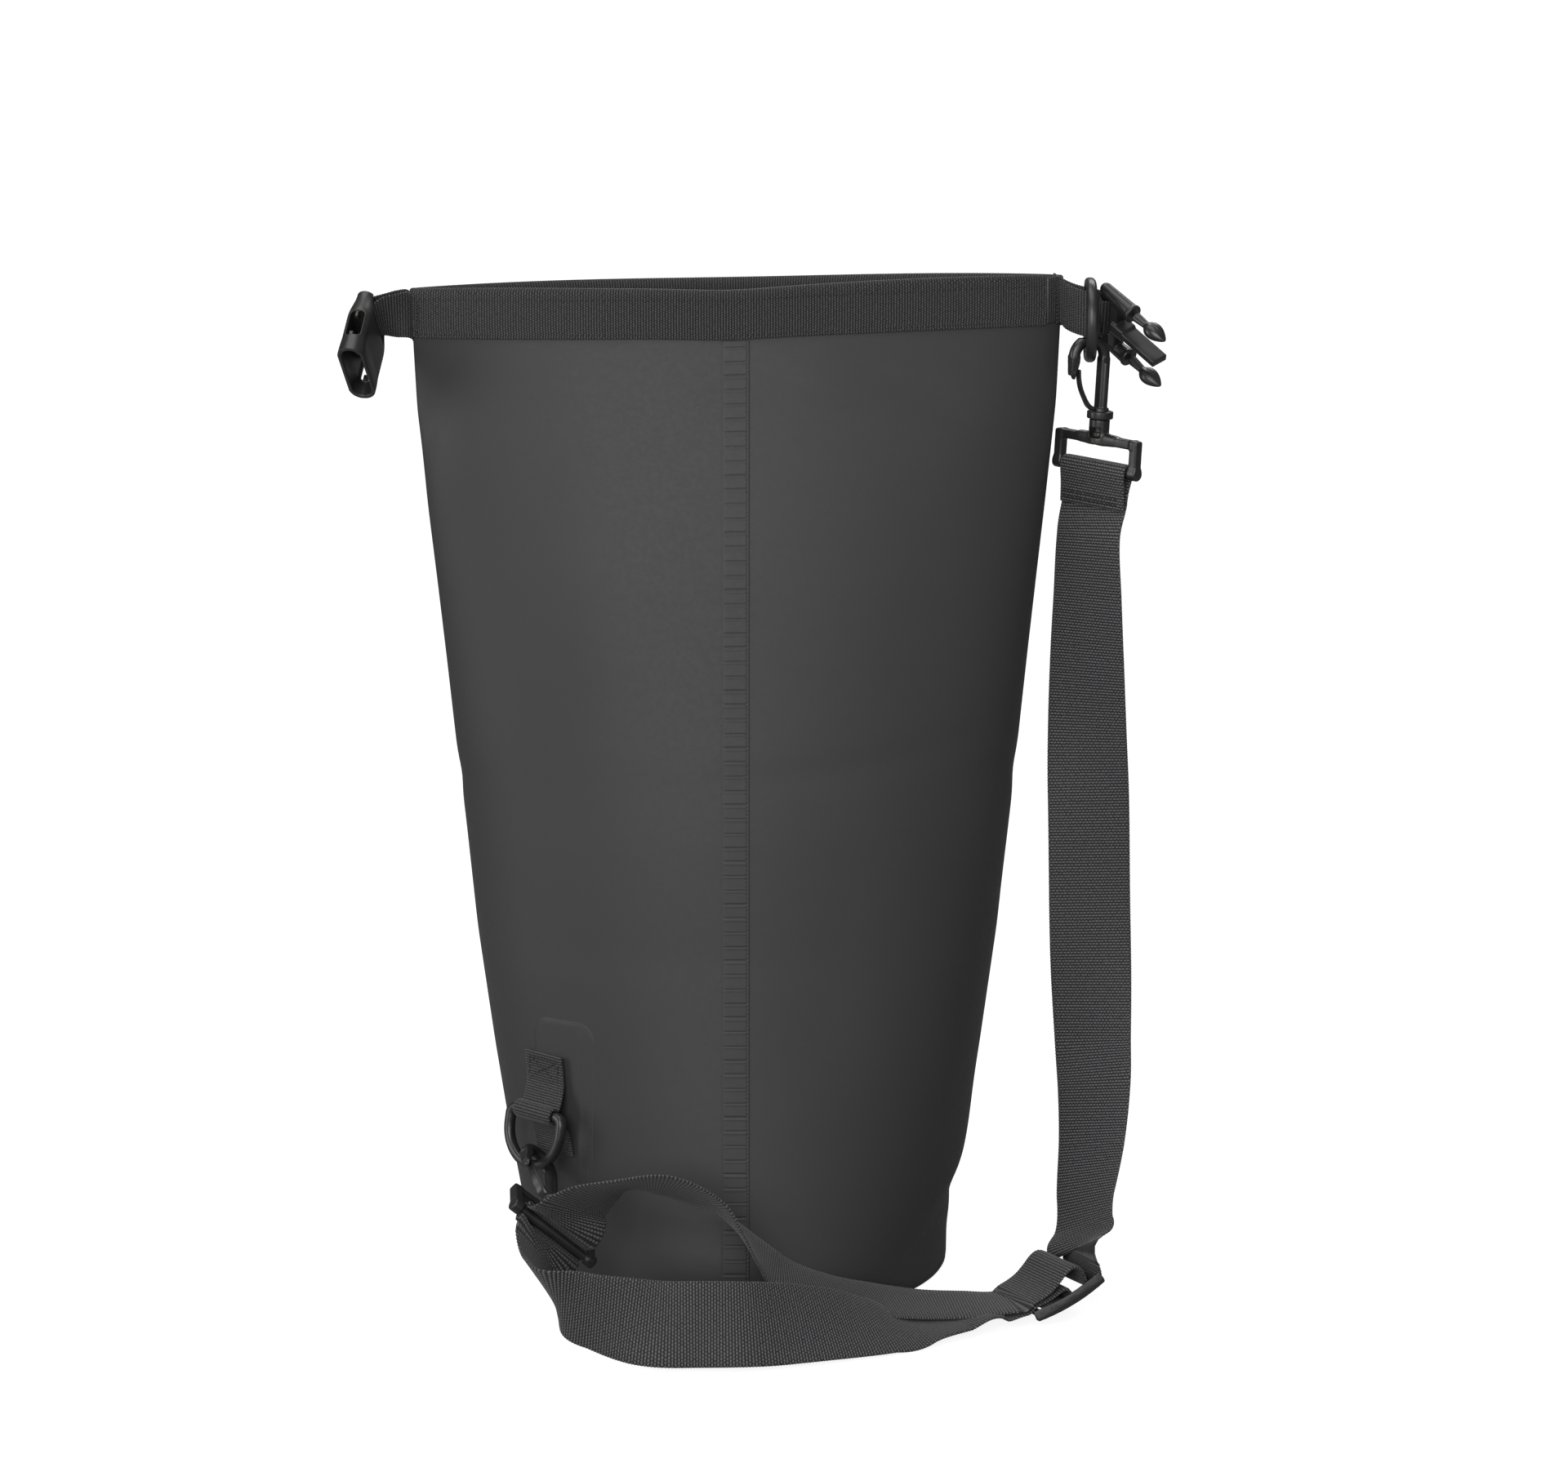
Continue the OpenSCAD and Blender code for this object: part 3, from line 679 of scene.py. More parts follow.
def stitches(name, runs, radius=0.3):
    """Thread along runs of (curve, outward normals): a short rounded pick, then a gap."""
    parts = []
    for curve, normal, pitch in runs:
        curve = np.asarray(curve, float)
        fine = resample(np.column_stack([curve, normal]), pitch / 4)
        for i in range(0, len(fine) - 4, 4):
            a, b = fine[i, :3], fine[i + 3, :3]
            n = unit(fine[i + 1, 3:6])
            ahead = unit(b - a)
            side = np.cross(n, ahead)
            rings = []
            for t, r, up in ((0, 0.35, -0.25), (0.2, 0.9, 0.12), (0.5, 1, 0.2), (0.8, 0.9, 0.12),
                             (1, 0.35, -0.25)):
                spoke = np.arange(6) * math.pi / 3
                round_it = np.outer(np.cos(spoke), side) + np.outer(np.sin(spoke), n)
                rings.append(a + (b - a) * t + n * up + round_it * radius * r)
            parts.append(loft(rings))
    points, faces = joined(parts)
    return add_piece(name, points, faces, THREAD, BAG)


def along_skin(z, phi, out):
    """A stitch line on the tube: its points and outward directions."""
    a = skin_at(z, phi, out)
    return a, unit(skin_at(z, phi, out + 1) - a)


def wrap(centre, toward, axis, r, first, last, count):
    """Stations round a bar: first and last are angles from `toward` about `axis`."""
    x, z = flat_to(toward, axis), unit(axis)
    y = np.cross(z, x)
    turn = np.radians(np.linspace(first, last, count + 1))
    return [(centre + r * (x * math.cos(t) + y * math.sin(t)), z) for t in turn]


# ---------------------------------------------------------------- camera, light and floor
def make_camera():
    camera = bpy.data.objects.new("camera", bpy.data.cameras.new("camera"))
    camera.data.lens = 99.98
    camera.data.sensor_width = 36
    camera.data.clip_end = 50
    camera.location = (0.022, -2.0, 0.648)
    camera.rotation_euler = (math.radians(78.89), 0, 0)
    bpy.context.scene.collection.objects.link(camera)
    bpy.context.scene.camera = camera


def softbox(name, place, target, width, height, power):
    light = bpy.data.lights.new(name, "AREA")
    light.shape = "RECTANGLE"
    light.size = width
    light.size_y = height
    light.energy = power
    lamp = bpy.data.objects.new(name, light)
    bpy.context.scene.collection.objects.link(lamp)
    from_target = np.array(place, float) - np.array(target, float)
    back = unit(from_target)
    right = unit(np.cross((0, 0, 1), back))
    up = np.cross(back, right)
    matrix = [[right[i], up[i], back[i], place[i]] for i in range(3)] + [[0, 0, 0, 1]]
    lamp.matrix_world = Matrix(matrix)


def make_stage():
    """A pale sweep: floor, then a wide curve up to the backdrop."""
    run, rise, bend = 3.0, 3.2, 1.2
    profile = [(-4.5, 0.0), (run - bend, 0.0)]
    for t in np.linspace(0, math.pi / 2, 13)[1:]:
        profile.append((run - bend + bend * math.sin(t), bend - bend * math.cos(t)))
    profile.append((run, rise))
    points, faces = [], []
    for y, z in profile:
        points += [(-5.0, y, z), (5.0, y, z)]
    for i in range(len(profile) - 1):
        faces.append((2 * i, 2 * i + 1, 2 * i + 3, 2 * i + 2))
    mesh = bpy.data.meshes.new("sweep")
    mesh.from_pydata(points, [], faces)
    mesh.polygons.foreach_set("use_smooth", [True] * len(mesh.polygons))
    pale = bpy.data.materials.new("sweep_paper")
    pale.use_nodes = True
    tree = pale.node_tree
    bsdf = tree.nodes["Principled BSDF"]
    grey = 0.3
    bsdf.inputs["Base Color"].default_value = (grey, grey, grey, 1)
    bsdf.inputs["Roughness"].default_value = 0.9
    bsdf.inputs["Specular IOR Level"].default_value = 0.0
    bsdf.inputs["Emission Color"].default_value = (1, 1, 1, 1)
    seen = tree.nodes.new("ShaderNodeMath")
    seen.operation = "MULTIPLY"
    glow = 0.88
    seen.inputs[1].default_value = glow
    tree.links.new(tree.nodes.new("ShaderNodeLightPath").outputs["Is Camera Ray"], seen.inputs[0])
    tree.links.new(seen.outputs[0], bsdf.inputs["Emission Strength"])
    mesh.materials.append(pale)
    sweep = bpy.data.objects.new("sweep", mesh)
    bpy.context.scene.collection.objects.link(sweep)


def make_light():
    world = bpy.data.worlds.new("studio")
    world.use_nodes = True
    world.node_tree.nodes["Background"].inputs["Color"].default_value = (0.9, 0.9, 0.9, 1)
    world.node_tree.nodes["Background"].inputs["Strength"].default_value = 0.2
    bpy.context.scene.world = world
    middle = (0, 0, 0.25)
    softbox("key", (-0.6, -2.5, 1.25), middle, 1.6, 1.8, 53)
    softbox("top", (-0.3, -0.2, 2.3), middle, 2.0, 1.4, 22)
    softbox("fill", (1.2, -2.2, 0.8), middle, 0.9, 1.3, 7)
    softbox("left", (-2.0, -0.5, 0.6), middle, 0.8, 1.3, 13)
    softbox("back", (0.5, 1.7, 2.1), middle, 1.4, 0.8, 16)


bpy.context.scene.view_settings.view_transform = "Standard"
make_camera()
make_stage()
make_light()

# ---------------------------------------------------------------- the soft bag
make_tube()
make_seam()
make_patch()
make_band("band_front", "mouth_band_front", -177, -19, 1.0)
make_band("band_back", "mouth_band_back", 3, 177, 0.6)
for node in ("base_disc", "base_cuff"):
    frame["nodes"][node].data.materials.clear()
    frame["nodes"][node].data.materials.append(CLOTH)
for node in ("stiffener_front", "stiffener_back"):
    frame["nodes"][node].data.materials.clear()
    frame["nodes"][node].data.materials.append(PLASTIC)

# ---------------------------------------------------------------- loops that hold the buckles
WEB = 1.3
LOOP_W = 21.1
FEM = Spot(joint_point("female_buckle_swing"), (-0.14, -0.70, -0.70), (-0.98, 0.19, 0))
MALE = Spot(joint_point("male_buckle_swing"), (0.60, -0.62, -0.50), (-0.79, -0.47, -0.37))
FEM_ACROSS = (-0.13, -0.70, 0.70)
MALE_ACROSS = (0, -0.62, 0.78)
BAR_R = 1.9
WRAP_R = BAR_R + 0.5 + WEB / 2


def make_loops():
    ribbon("loop_left", [
        (skin_at(451, -177, -0.2), (0, 0, 1)), (np.array([-152, 9.4, 449.5]), (0, 0, 1)),
        (np.array([-157, 7.2, 449.3]), (0, -0.25, 1)),
        (np.array([-162.5, 5.2, 449]), (-0.05, -0.5, 0.9)),
        *wrap(FEM.point, (1, 0.25, 0.25), FEM_ACROSS, WRAP_R, 300, 60, 10),
        (np.array([-161, 11.5, 450.5]), (-0.05, -0.5, 0.9)),
        (np.array([-156.5, 13.5, 450.5]), (0, -0.25, 1)), (np.array([-152, 15.4, 450]), (0, 0, 1)),
        (skin_at(450, 176, -0.2), (0, 0, 1)),
    ], LOOP_W, WEB, BAND_RIB, BAND_WEB, ("left_loop",), held=True)
    ribbon("loop_right", [
        (skin_at(453, -20, 2.6), (0, 0, 1)), (skin_at(453.4, -12, 2.3), (0, 0, 1)),
        (np.array([152, 9.2, 453.6]), (0, 0, 1)), (np.array([157.5, 4, 451.4]), (0, 0, 1)),
        (np.array([162.2, 2.6, 450.4]), (0, -0.02, 1)),
        (np.array([165.8, 2.5, 449.8]), (0, -0.16, 1)),
        *wrap(MALE.point, (-1, 0.2, 0.1), MALE_ACROSS, WRAP_R, 60, 300, 10),
        (np.array([166, 11.6, 450.8]), (0, -0.14, 1)),
        (np.array([162, 12.2, 451.5]), (0, -0.02, 1)), (np.array([157, 14.4, 452.6]), (0, 0, 1)),
        (np.array([152, 15.6, 454.6]), (0, 0, 1)), (skin_at(455, 14, 1.2), (0, 0, 1)),
    ], LOOP_W, WEB, BAND_RIB, BAND_WEB, ("right_loop",), held=True)


make_loops()


# ---------------------------------------------------------------- side-release buckle
def female_field(p):
    x, y, z = p[..., 0], p[..., 1], p[..., 2]
    wide = 15.4 + 2.6 * smoothstep(x, -2, 12)
    deep = 4.1 + 1.7 * smoothstep(x, -4, 10) + 0.5 * smoothstep(x, 23, 30)
    side = np.abs(y) - (wide - deep)
    shell = np.hypot(np.maximum(side, 0), z) - deep
    shell = np.where(side > 0, shell, np.abs(z) - deep)
    ends = np.maximum(-3.4 - x, x - 33)
    body = np.maximum(shell, ends)
    inner_wide, inner_deep = wide - 1.9, deep - 1.8
    inside = np.abs(y) - (inner_wide - inner_deep)
    hollow = np.where(inside > 0, np.hypot(np.maximum(inside, 0), z), np.abs(z)) - inner_deep
    hollow = np.maximum(hollow, 9.5 - x)
    body = blend_cut(body, hollow, 0.5)
    body = blend_cut(body, rounded_box(p, (17, 0, 0), (7, 30, 3.3), 1.6), 0.6)
    body = blend_cut(body, rounded_box(p, (0.8, 0, 0), (6.3, 12.4, 20), 0.8), 0.6)
    bar = rod(p, (0, -13.2, 0), (0, 13.2, 0), BAR_R)
    tongue = rounded_box(p, (15, 0, 2.2), (6.5, 0.9, 1.2), 0.5)
    tabs = np.minimum(rounded_box(p, (11.4, 0, 0.4), (1.6, 17, 0.8), 0.3),
                      rounded_box(p, (23, 0, 0.9), (1.5, 17, 1.0), 0.3))
    tabs = np.maximum(tabs, 14.6 - np.abs(y))
    return blend_all([body, bar, tongue, tabs], 0.5)


def male_field(p):
    arm = 13.8
    parts = []
    for s in (-1, 1):
        socket = rod(p, (-0.6, s * (arm + 1.3), 0), (17.6, s * (arm + 0.2), 0), 2.9, 4.0)
        socket = np.maximum(socket, p[..., 0] - 18.8)
        collar = drum(p, (18.1, s * arm, 0), 0, 4.45, 0.75, 0.35)
        parts += [socket, collar]
    parts.append(rod(p, (0, -13.5, 0), (0, 13.5, 0), BAR_R))
    parts.append(rounded_box(p, (8.6, 0, 0), (2.3, arm, 3.1), 0.7))
    parts.append(rounded_box(p, (12.4, 0, 0), (4.4, 3.0, 4.3), 0.8))
    parts.append(rounded_box(p, (23.5, 0, 0), (15.4, 1.75, 4.2), 0.55))
    return blend_all(parts, 0.8)


def prong_field(p):
    x, y, z = p[..., 0], p[..., 1], p[..., 2]
    arm = rod(p, (0.4, 0, 0), (10.5, 0.5, 0), 2.6, 1.75, (1, 0.8, 1))
    root = 0.73 * (0.15 + 0.92 * np.maximum(np.hypot(y, z) - 1.1, 0) - x)
    arm = np.maximum(arm, root)
    leaf = 4.3 * np.sin(np.clip((x - 8.2) / 14.0, 0, 1) ** 0.72 * math.pi) ** 0.8
    q = np.hypot((y - 0.6) / 0.78, z) - leaf
    head = np.maximum(q * 0.75, np.maximum(8.6 - x, x - 21.8))
    rim = np.abs(np.hypot((y - 0.6) / 0.78, z) - leaf + 0.1) + np.abs(z) * 0.8
    shape = blend_add(arm, head, 1.0)
    return shape + 0.25 * np.exp(-(rim / 0.5) ** 2) * (x > 10)


def make_buckle():
    moulded("buckle_female", female_field, (-6, -20, -8), (35, 20, 8), FEM, "female_buckle",
            ("female_buckle",))
    moulded("buckle_male", male_field, (-5, -20, -6), (41, 20, 6), MALE, "male_buckle",
            ("male_buckle",))
    for s, body in ((1, "male_prong_upper"), (-1, "male_prong_lower")):
        root = Spot(MALE.world((19.3, s * 13.8, 0)), MALE.axes[0], MALE.axes[2] * s)
        moulded(body + "_arm", prong_field, (-1, -5, -6), (23, 5, 6), root, body, (body,), 0.28)


make_buckle()

# ---------------------------------------------------------------- D-rings and snap hooks
RING_BOW = 17.0
RING_LEG = 7.5
TAB_PHI = -139.5
TAB_OUT = unit((-0.70, -0.714, 0))
TAB_ACROSS = np.array([0.714, -0.70, 0])
LOW_RING = joint_point("lower_ring_swing")
LOW_DOWN = unit(TAB_OUT * 0.188 + np.array([0, 0, -0.982]))
UP_RING = joint_point("upper_ring_swing")
SWIVEL_X = -7.9
BAR_Z = -50.4
BOW_Z = 1.2


def make_ring(name, node, spot):
    """A D-ring: straight bar along x, bow towards -y, a rounded and slightly flattened section."""
    turn = np.linspace(0, math.pi, 49)
    bow = [(RING_BOW * math.cos(t), -RING_LEG - RING_BOW * math.sin(t)) for t in turn]
    line = [(-RING_BOW + 3, 0), (RING_BOW - 3, 0), (RING_BOW - 0.9, -0.9), (RING_BOW, -3)]
    line += bow + [(-RING_BOW, -3), (-RING_BOW + 0.9, -0.9), (-RING_BOW + 3, 0)]
    path = resample(np.array([(x, y, 0) for x, y in line], float), 0.9)[:-1]
    ahead = unit(np.roll(path, -1, 0) - np.roll(path, 1, 0))
    side = np.cross(ahead, (0, 0, 1))
    spoke = np.linspace(0, 2 * math.pi, 25)[:-1]
    c, s = np.cos(spoke), np.sin(spoke)
    in_plane = 2.35 * np.sign(c) * np.abs(c) ** 0.8
    upright = 2.5 * np.sign(s) * np.abs(s) ** 0.8
    rings = path[:, None] + side[:, None] * in_plane[None, :, None]
    rings = rings + np.array([0, 0, 1]) * upright[None, :, None]
    m, n = rings.shape[:2]
    faces = grid_faces(m, n, closed=True)
    faces += [((m - 1) * n + j, (m - 1) * n + (j + 1) % n, (j + 1) % n, j) for j in range(n)]
    points = spot.world(rings.reshape(-1, 3))
    return add_piece(name, points, faces, PLASTIC, node, (node,))


def hook_field(p):
    x, y, z = p[..., 0], p[..., 1], p[..., 2]
    ring = np.hypot(x, z - BOW_Z)
    bow = np.hypot((ring - 7.95) / 2.65, y / 2.75) - 1
    bow = np.maximum(bow * 2.5, BOW_Z - 0.2 - z)
    shank = rounded_box(p, (SWIVEL_X, 0, -11.7), (2.45, 2.7, 13.1), 1.2)
    ridge = rounded_box(p, (SWIVEL_X, 0, -12.5), (0.8, 3.3, 11), 0.5)
    claw_x = 7.95 + 0.5 * smoothstep(-z, 0.8, 7.8)
    claw = rounded_box(np.stack([x - claw_x, y, z + 2.9], -1), (0, 0, 0),
                       (2.2, 2.65, 5.2), 0.9) + 0.14 * np.clip(-z - 0.8, 0, 9)
    nib = rod(p, (8.1, 0, -5.8), (7.6, 0, -8.4), 1.2, 0.7, (1, 2.0, 1))
    collar = drum(p, (SWIVEL_X, 0, -25.7), 2, 6.1, 1.7, 0.45)
    neck = drum(p, (SWIVEL_X, 0, -24.0), 2, 3.9, 1.6, 0.6)
    stem = drum(p, (SWIVEL_X, 0, -33), 2, 2.0, 6.2, 0.3)
    head = drum(p, (SWIVEL_X, 0, -34.9), 2, 2.9, 1.1, 0.3)
    body = blend_all([bow, shank, ridge, claw, nib], 0.7)
    return blend_all([body, collar, neck, stem, head], 0.45)


def gate_line():
    """The spring gate's middle line: from the collar, out and up to the claw's tip."""
    return spline([(-3.5, 0, -22.9), (-1.1, 0, -21.3), (1.5, 0, -17.4), (3.6, 0, -13.1),
                   (4.7, 0, -9.0), (5.25, 0, -4.6)], 0.4)


def make_gate(name, node, spot):
    line = gate_line()
    ahead = unit(np.gradient(line, axis=0))
    side = np.cross((0, 1, 0), ahead)
    share = np.linspace(0, 1, len(line))
    thick = 1.05 - 0.5 * smoothstep(share, 0.0, 0.35) + 0.1 * smoothstep(share, 0.8, 1)
    wide = 2.4 - 0.5 * smoothstep(share, 0.2, 1)
    spoke = np.linspace(0, 2 * math.pi, 17)[:-1]
    c = np.sign(np.cos(spoke)) * np.abs(np.cos(spoke)) ** 0.6
    s = np.sign(np.sin(spoke)) * np.abs(np.sin(spoke)) ** 0.6
    rings = line[:, None] + side[:, None] * (thick[:, None] * c)[..., None]
    rings = rings + np.array([0, 1, 0]) * (wide[:, None] * s)[..., None]
    points, faces = loft(rings)
    return add_piece(name, spot.world(points), faces, PLASTIC, node, (node,))


def frame_field(p):
    """The swivel frame, with its barrel on the z axis and the strap's bar along x."""
    x, y, z = p[..., 0], p[..., 1], p[..., 2]
    barrel = drum(p, (0, 0, -33.45), 2, 4.75, 5.75, 0.5)
    flare = rounded_box(p, (0, 0, -37.0), (10.5, 2.4, 2.6), 0.9) + 0.16 * np.clip(np.abs(x) - 5, 0, 8)
    sweep = rod(p, (-10, 0, -36.6), (10, 0, -36.6), 2.5, 2.5, (1, 0.9, 1))
    top = rounded_box(p, (0, 0, -37.1), (22, 2.3, 2.1), 0.7)
    parts = [barrel, flare, sweep, top]
    for s in (-1, 1):
        arm_x = s * 22.1
        parts.append(rounded_box(p, (arm_x, 0, -43.5), (2.3, 2.5, 8.5), 1.1))
        parts.append(drum(p, (arm_x, 0, BAR_Z), 0, 3.1, 2.4, 0.6))
    body = blend_all(parts, 1.2)
    body = blend_add(body, rod(p, (-21, 0, BAR_Z), (21, 0, BAR_Z), 2.2), 0.6)
    bore = np.hypot(x, y) - 2.1
    body = np.maximum(body, -np.maximum(bore, np.abs(z + 33) - 9))
    window = rounded_box(p, (0, 0, -33.8), (3.3, 12, 2.4), 0.5)
    inside = drum(p, (0, 0, -33.8), 2, 3.4, 2.4, 0.4)
    return blend_cut(blend_cut(body, window, 0.3), inside, 0.3)


def make_clip(name, bar, hook_body):
    """One end of the strap: snap hook, spring gate and swivel frame."""
    axle = joint_point(name + "_hook_swivel")
    down = unit(JOINT[name + "_hook_swivel"]["axis"])
    claw = np.cross(JOINT[name + "_gate_flex"]["axis"], -down)
    spot = Spot(axle - unit(claw) * SWIVEL_X, claw, -down)
    moulded(name + "_hook", hook_field, (-16, -7, -41), (12, 7, 10), spot, hook_body, (hook_body,), 0.3)
    gate = hook_body.replace("snap_hook", "hook_gate")
    make_gate(name + "_gate", gate, spot)
    turned = Spot(axle, flat_to(bar, down), -down)
    node = hook_body.replace("snap_hook", "swivel_frame")
    moulded(name + "_frame", frame_field, (-26, -6, -55), (26, 6, -26), turned, BAG, (node,), 0.33)
    return turned


make_ring("ring_upper", "upper_d_ring", Spot(UP_RING, (0, 0, -1), (1, 0, 0)))
make_ring("ring_lower", "lower_d_ring", Spot(LOW_RING, TAB_ACROSS, np.cross(TAB_ACROSS, -LOW_DOWN)))
UP_FRAME = make_clip("upper", (0.73, -0.68, 0), "upper_snap_hook")
LOW_FRAME = make_clip("lower", (0.719, 0.224, -0.657), "lower_snap_hook")
UP_DOWN = -UP_FRAME.axes[2]
LOW_DIR = -LOW_FRAME.axes[2]

# ---------------------------------------------------------------- slider
SLIDER_ALONG = unit((0.831, 0.399, 0.386))
SLIDER_ACROSS = unit((-0.401, 0.913, -0.08))
SLIDER = Spot((143.2, -84, 11.2), SLIDER_ALONG, np.cross(SLIDER_ALONG, SLIDER_ACROSS))


def slider_field(p):
    x, y, z = p[..., 0], p[..., 1], p[..., 2]
    bars = [rod(p, (bx, -21, 0), (bx, 21, 0), 1.75, 1.75, (1, 1, 0.95)) for bx in (-15.5, 0, 15.5)]
    bow = 1.9 * (1 - (x / 18.5) ** 2)
    rail = rounded_box(np.stack([x, np.abs(y) - bow * 0.5, z + 0.7 - 0.004 * x * x], -1),
                       (0, 22.2, 0), (18.6, 1.5, 2.4), 0.5)
    bevel = (np.abs(y) - bow * 0.5 - 23.4) * 0.7 + (z - 0.2) * 0.7
    rail = np.maximum(rail, bevel)
    rail = np.maximum(rail, np.hypot(x, z * 2.2) - 19.2)
    return blend_all([rail, *bars], 0.8)


moulded("slider", slider_field, (-21, -27, -5), (21, 27, 5), SLIDER, BAG, ("strap_slider",), 0.36)

# ---------------------------------------------------------------- shoulder strap
STRAP_W = 38.0
STRAP_T = 1.4
FRAME_BAR_R = 2.2
FRAME_WRAP = FRAME_BAR_R + 0.3 + STRAP_T / 2
UP_BAR = UP_FRAME.world((0, 0, BAR_Z))
LOW_BAR = LOW_FRAME.world((0, 0, BAR_Z))
UP_ACROSS = UP_FRAME.axes[0]
LOW_ACROSS = LOW_FRAME.axes[0]
UP_OUT = np.cross(UP_DOWN, UP_ACROSS)
LOW_OUT = np.cross(LOW_ACROSS, LOW_DIR)
SL_X, SL_Y, SL_Z = SLIDER.axes


def near_up(down, out):
    return UP_BAR + UP_DOWN * down + UP_OUT * out, UP_ACROSS


def near_low(down, out):
    return LOW_BAR + LOW_DIR * down + LOW_OUT * out, -LOW_ACROSS


def near_slider(along, high, across):
    return SLIDER.point + SL_X * along + SL_Z * high, across


def strap_route():
    """The strap from its sewn upper fold, through the slider and round the lower frame's bar."""
    r = FRAME_WRAP
    route = [near_up(18, 1.6), near_up(9, 2.2), near_up(2, r)]
    route += [near_up(-r * math.sin(t), r * math.cos(t)) for t in np.radians([30, 60, 90, 120, 150])]
    route += [near_up(2, -r), near_up(9, -1.2), near_up(16, -0.2)]
    route += [
        ((162.8, -4.5, 348), (0.72, -0.69, 0.02)), ((162.7, -6.2, 320), (0.78, -0.6, 0.04)),
        ((162.8, -6.5, 294), (0.86, -0.5, 0.05)), ((163.4, -7.1, 255), (0.95, -0.31, 0.04)),
        ((164.4, -10.9, 217), (1, -0.06, 0)), ((165.2, -16.8, 168), (1, -0.06, 0)),
        ((166.6, -24.6, 115), (0.92, -0.39, 0.06)), ((167, -32.4, 94), (0.86, -0.5, 0.08)),
        ((165.6, -42.8, 69.5), (0.76, -0.65, 0.11)), ((162.2, -56.5, 48), (0.61, -0.79, 0.09)),
        ((160.6, -65.5, 35), (0.53, -0.84, 0.1))]
    curl = [(20.6, 9), (20.4, 5), (19.8, 0.5), (18.2, -2.4), (15.5, -3.5), (12.9, -2.7),
            (12, 0.5), (12.2, 4), (11.6, 7.6), (9, 9.9), (5, 9.6), (0, 7.4), (-5, 5.6),
            (-10, 4.9), (-15.5, 4.8), (-20, 4)]
    route += [near_slider(a, h, -SL_Y) for a, h in curl]
    route += [
        ((105, -95, 6.6), (-0.21, -0.97, 0)), ((86.3, -97.5, 7.6), (-0.19, -0.98, 0)),
        ((63.9, -102.8, 11.6), (-0.26, -0.96, 0)), ((42.7, -110.2, 17.5), (-0.28, -0.96, 0)),
        ((21.9, -115.2, 26.8), (-0.26, -0.96, 0)), ((10.6, -116.4, 38), (-0.12, -0.99, 0.1)),
        ((-0.4, -119.9, 51.4), (0, -0.95, 0.3)), ((-11.8, -123.4, 63.4), (0.06, -0.87, 0.48)),
        ((-30, -125.8, 72.4), (0.02, -0.86, 0.51)), ((-49, -125.6, 73.1), (0.03, -0.91, 0.4)),
        ((-62, -124.5, 68), (-0.21, -0.81, 0.55)), ((-72, -121.5, 60.5), (-0.36, -0.65, 0.66))]
    route += [near_low(d, o) for d, o in ((0.5, -6.5), (-2.2, -3), (-r, 0), (-2, 3), (4, 4.4))]
    route += [
        ((-87.8, -126.9, 41), (-0.53, -0.53, 0.66)), ((-85.6, -139, 32.9), (-0.45, -0.42, 0.79)),
        ((-79.6, -150.2, 28), (-0.46, -0.14, 0.88)), ((-63.7, -157, 24.2), (-0.37, 0, 0.93)),
        ((-45.5, -163.2, 22), (-0.22, 0.2, 0.94)), ((-32, -165, 21), (-0.1, 0.3, 0.93)),
        ((-14.6, -164.6, 20.8), (0.03, 0.35, 0.94)), ((6.1, -162, 20), (0.11, 0.5, 0.86)),
        ((25.6, -153, 17.4), (0.1, 0.7, 0.7)), ((45, -143, 14.2), (0.11, 0.85, 0.5)),
        ((64.8, -131.5, 9.4), (0.15, 0.95, 0.2)), ((80.1, -120.5, 5.2), (0.17, 0.98, 0)),
        ((97, -110, 4.4), (0.24, 0.96, -0.02)), ((113, -98.5, 5.6), (0.3, 0.95, -0.02))]
    tail = [(-20.5, 1.9), (-15.5, 2.75), (-9, 2.3), (-3, 2.6), (0, 2.8), (2.2, 1.9), (2.8, 0),
            (2, -2), (0, -2.8), (-3, -2), (-8, -0.2), (-12, 0.4)]
    route += [near_slider(a, h, SL_Y) for a, h in tail]
    return [(np.asarray(c, float), np.asarray(w, float)) for c, w in route]


strap, strap_length = ribbon("strap", strap_route(), STRAP_W, STRAP_T, STRAP_RIB, STRAP_WEB,
                             ("shoulder_strap",))


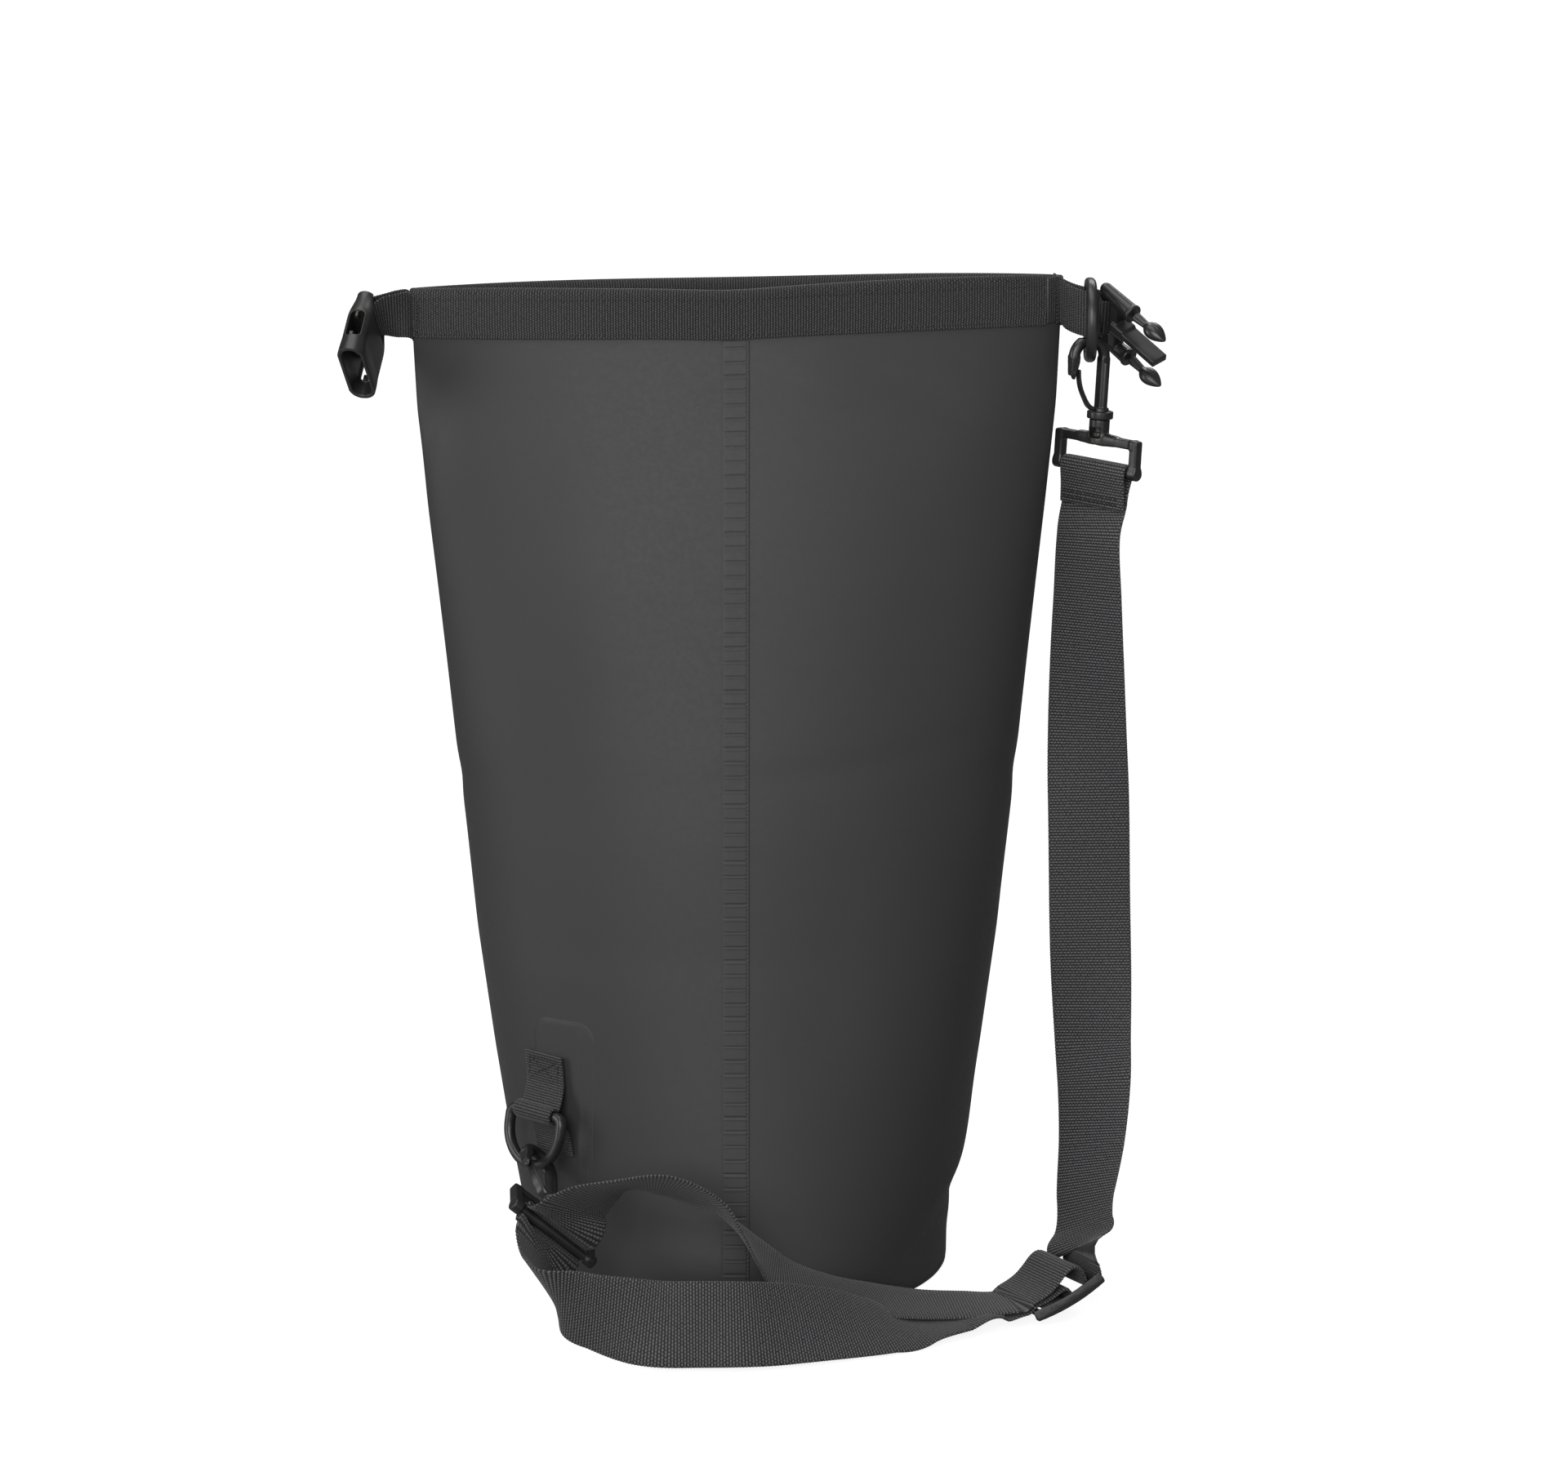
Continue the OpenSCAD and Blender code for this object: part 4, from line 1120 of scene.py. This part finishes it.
# ---------------------------------------------------------------- the sewn tab
def make_tab():
    ring_bar, clear = 2.5, 0.4
    bulge = ring_bar + clear + WEB / 2
    up = np.array([0, 0, 1.0])
    stations = [(skin_at(z, TAB_PHI) + TAB_OUT * out, TAB_ACROSS)
                for z, out in ((114, 1.6), (106, 1.7), (99.5, 2.6))]
    for t in np.radians(np.arange(135, -136, -27)):
        stations.append((LOW_RING + TAB_OUT * (bulge * math.cos(t)) + up * (bulge * math.sin(t)),
                         TAB_ACROSS))
    stations += [(skin_at(z, TAB_PHI) + TAB_OUT * out, TAB_ACROSS)
                 for z, out in ((79, 2.6), (73, 1.7), (69, 1.6))]
    return ribbon("ring_tab", stations, 25.0, WEB, BAND_RIB, BAND_WEB, ("d_ring_tab",),
                  held=True)


make_tab()

# ---------------------------------------------------------------- stitching
band_phi = even_angles(RIM_Z, -176, -20, 2.0)
back_phi = even_angles(RIM_Z, 4, 176, 2.0)
runs = []
for phi in (band_phi, back_phi):
    runs.append((*along_skin(RIM_Z - BAND_W + 1.9, phi, 1.15), 2.6))
    runs.append((*along_skin(RIM_Z - 3.4, phi, 1.3), 2.6))
stitches("band_stitches", runs)


def sew_strap_end():
    """The strap's folded end: two rows of stitching across it, through both layers."""
    half = STRAP_W / 2 - 2.0
    runs = []
    for down in (12.5, 15.3):
        middle = UP_BAR + UP_DOWN * down + UP_OUT * 2.9
        row = resample(np.array([middle - UP_ACROSS * half, middle + UP_ACROSS * half]), 1.0)
        runs.append((row, np.tile(UP_OUT, (len(row), 1)), 2.5))
    return runs


def box_cross(middle, across, up, out, wide, high):
    """A box with a cross in it, as stitch runs."""
    corner = [middle + across * (i * wide) + up * (j * high)
              for i, j in ((-1, -1), (1, -1), (1, 1), (-1, 1))]
    pairs = ((0, 1), (1, 2), (2, 3), (3, 0), (0, 2), (1, 3))
    rows = [resample(np.array([corner[a], corner[b]]), 0.8) for a, b in pairs]
    return [(row, np.tile(out, (len(row), 1)), 2.2) for row in rows]


def sew_tab():
    """The box-cross that sews the tab to its patch, above the ring."""
    up = np.array([0, 0, 1.0])
    middle = skin_at(107.0, TAB_PHI) + TAB_OUT * 2.5
    return box_cross(middle, TAB_ACROSS, up, TAB_OUT, 9.5, 5.0)


stitches("strap_end_stitches", sew_strap_end())
stitches("tab_stitches", sew_tab())


def make_tacks():
    """Bar-tacks that hold the loops' ends to the band: two dense rows at each end."""
    z = np.arange(RIM_Z - 20.5, RIM_Z - 1.5, 0.8)
    tacks = []
    for phi, out in ((-166.5, 1.6), (-15.0, 3.3)):
        for shift in (-0.35, 0.35):
            tacks.append((*along_skin(z, phi + shift, out), 1.7))
    stitches("bar_tacks", tacks, radius=0.42)


make_tacks()
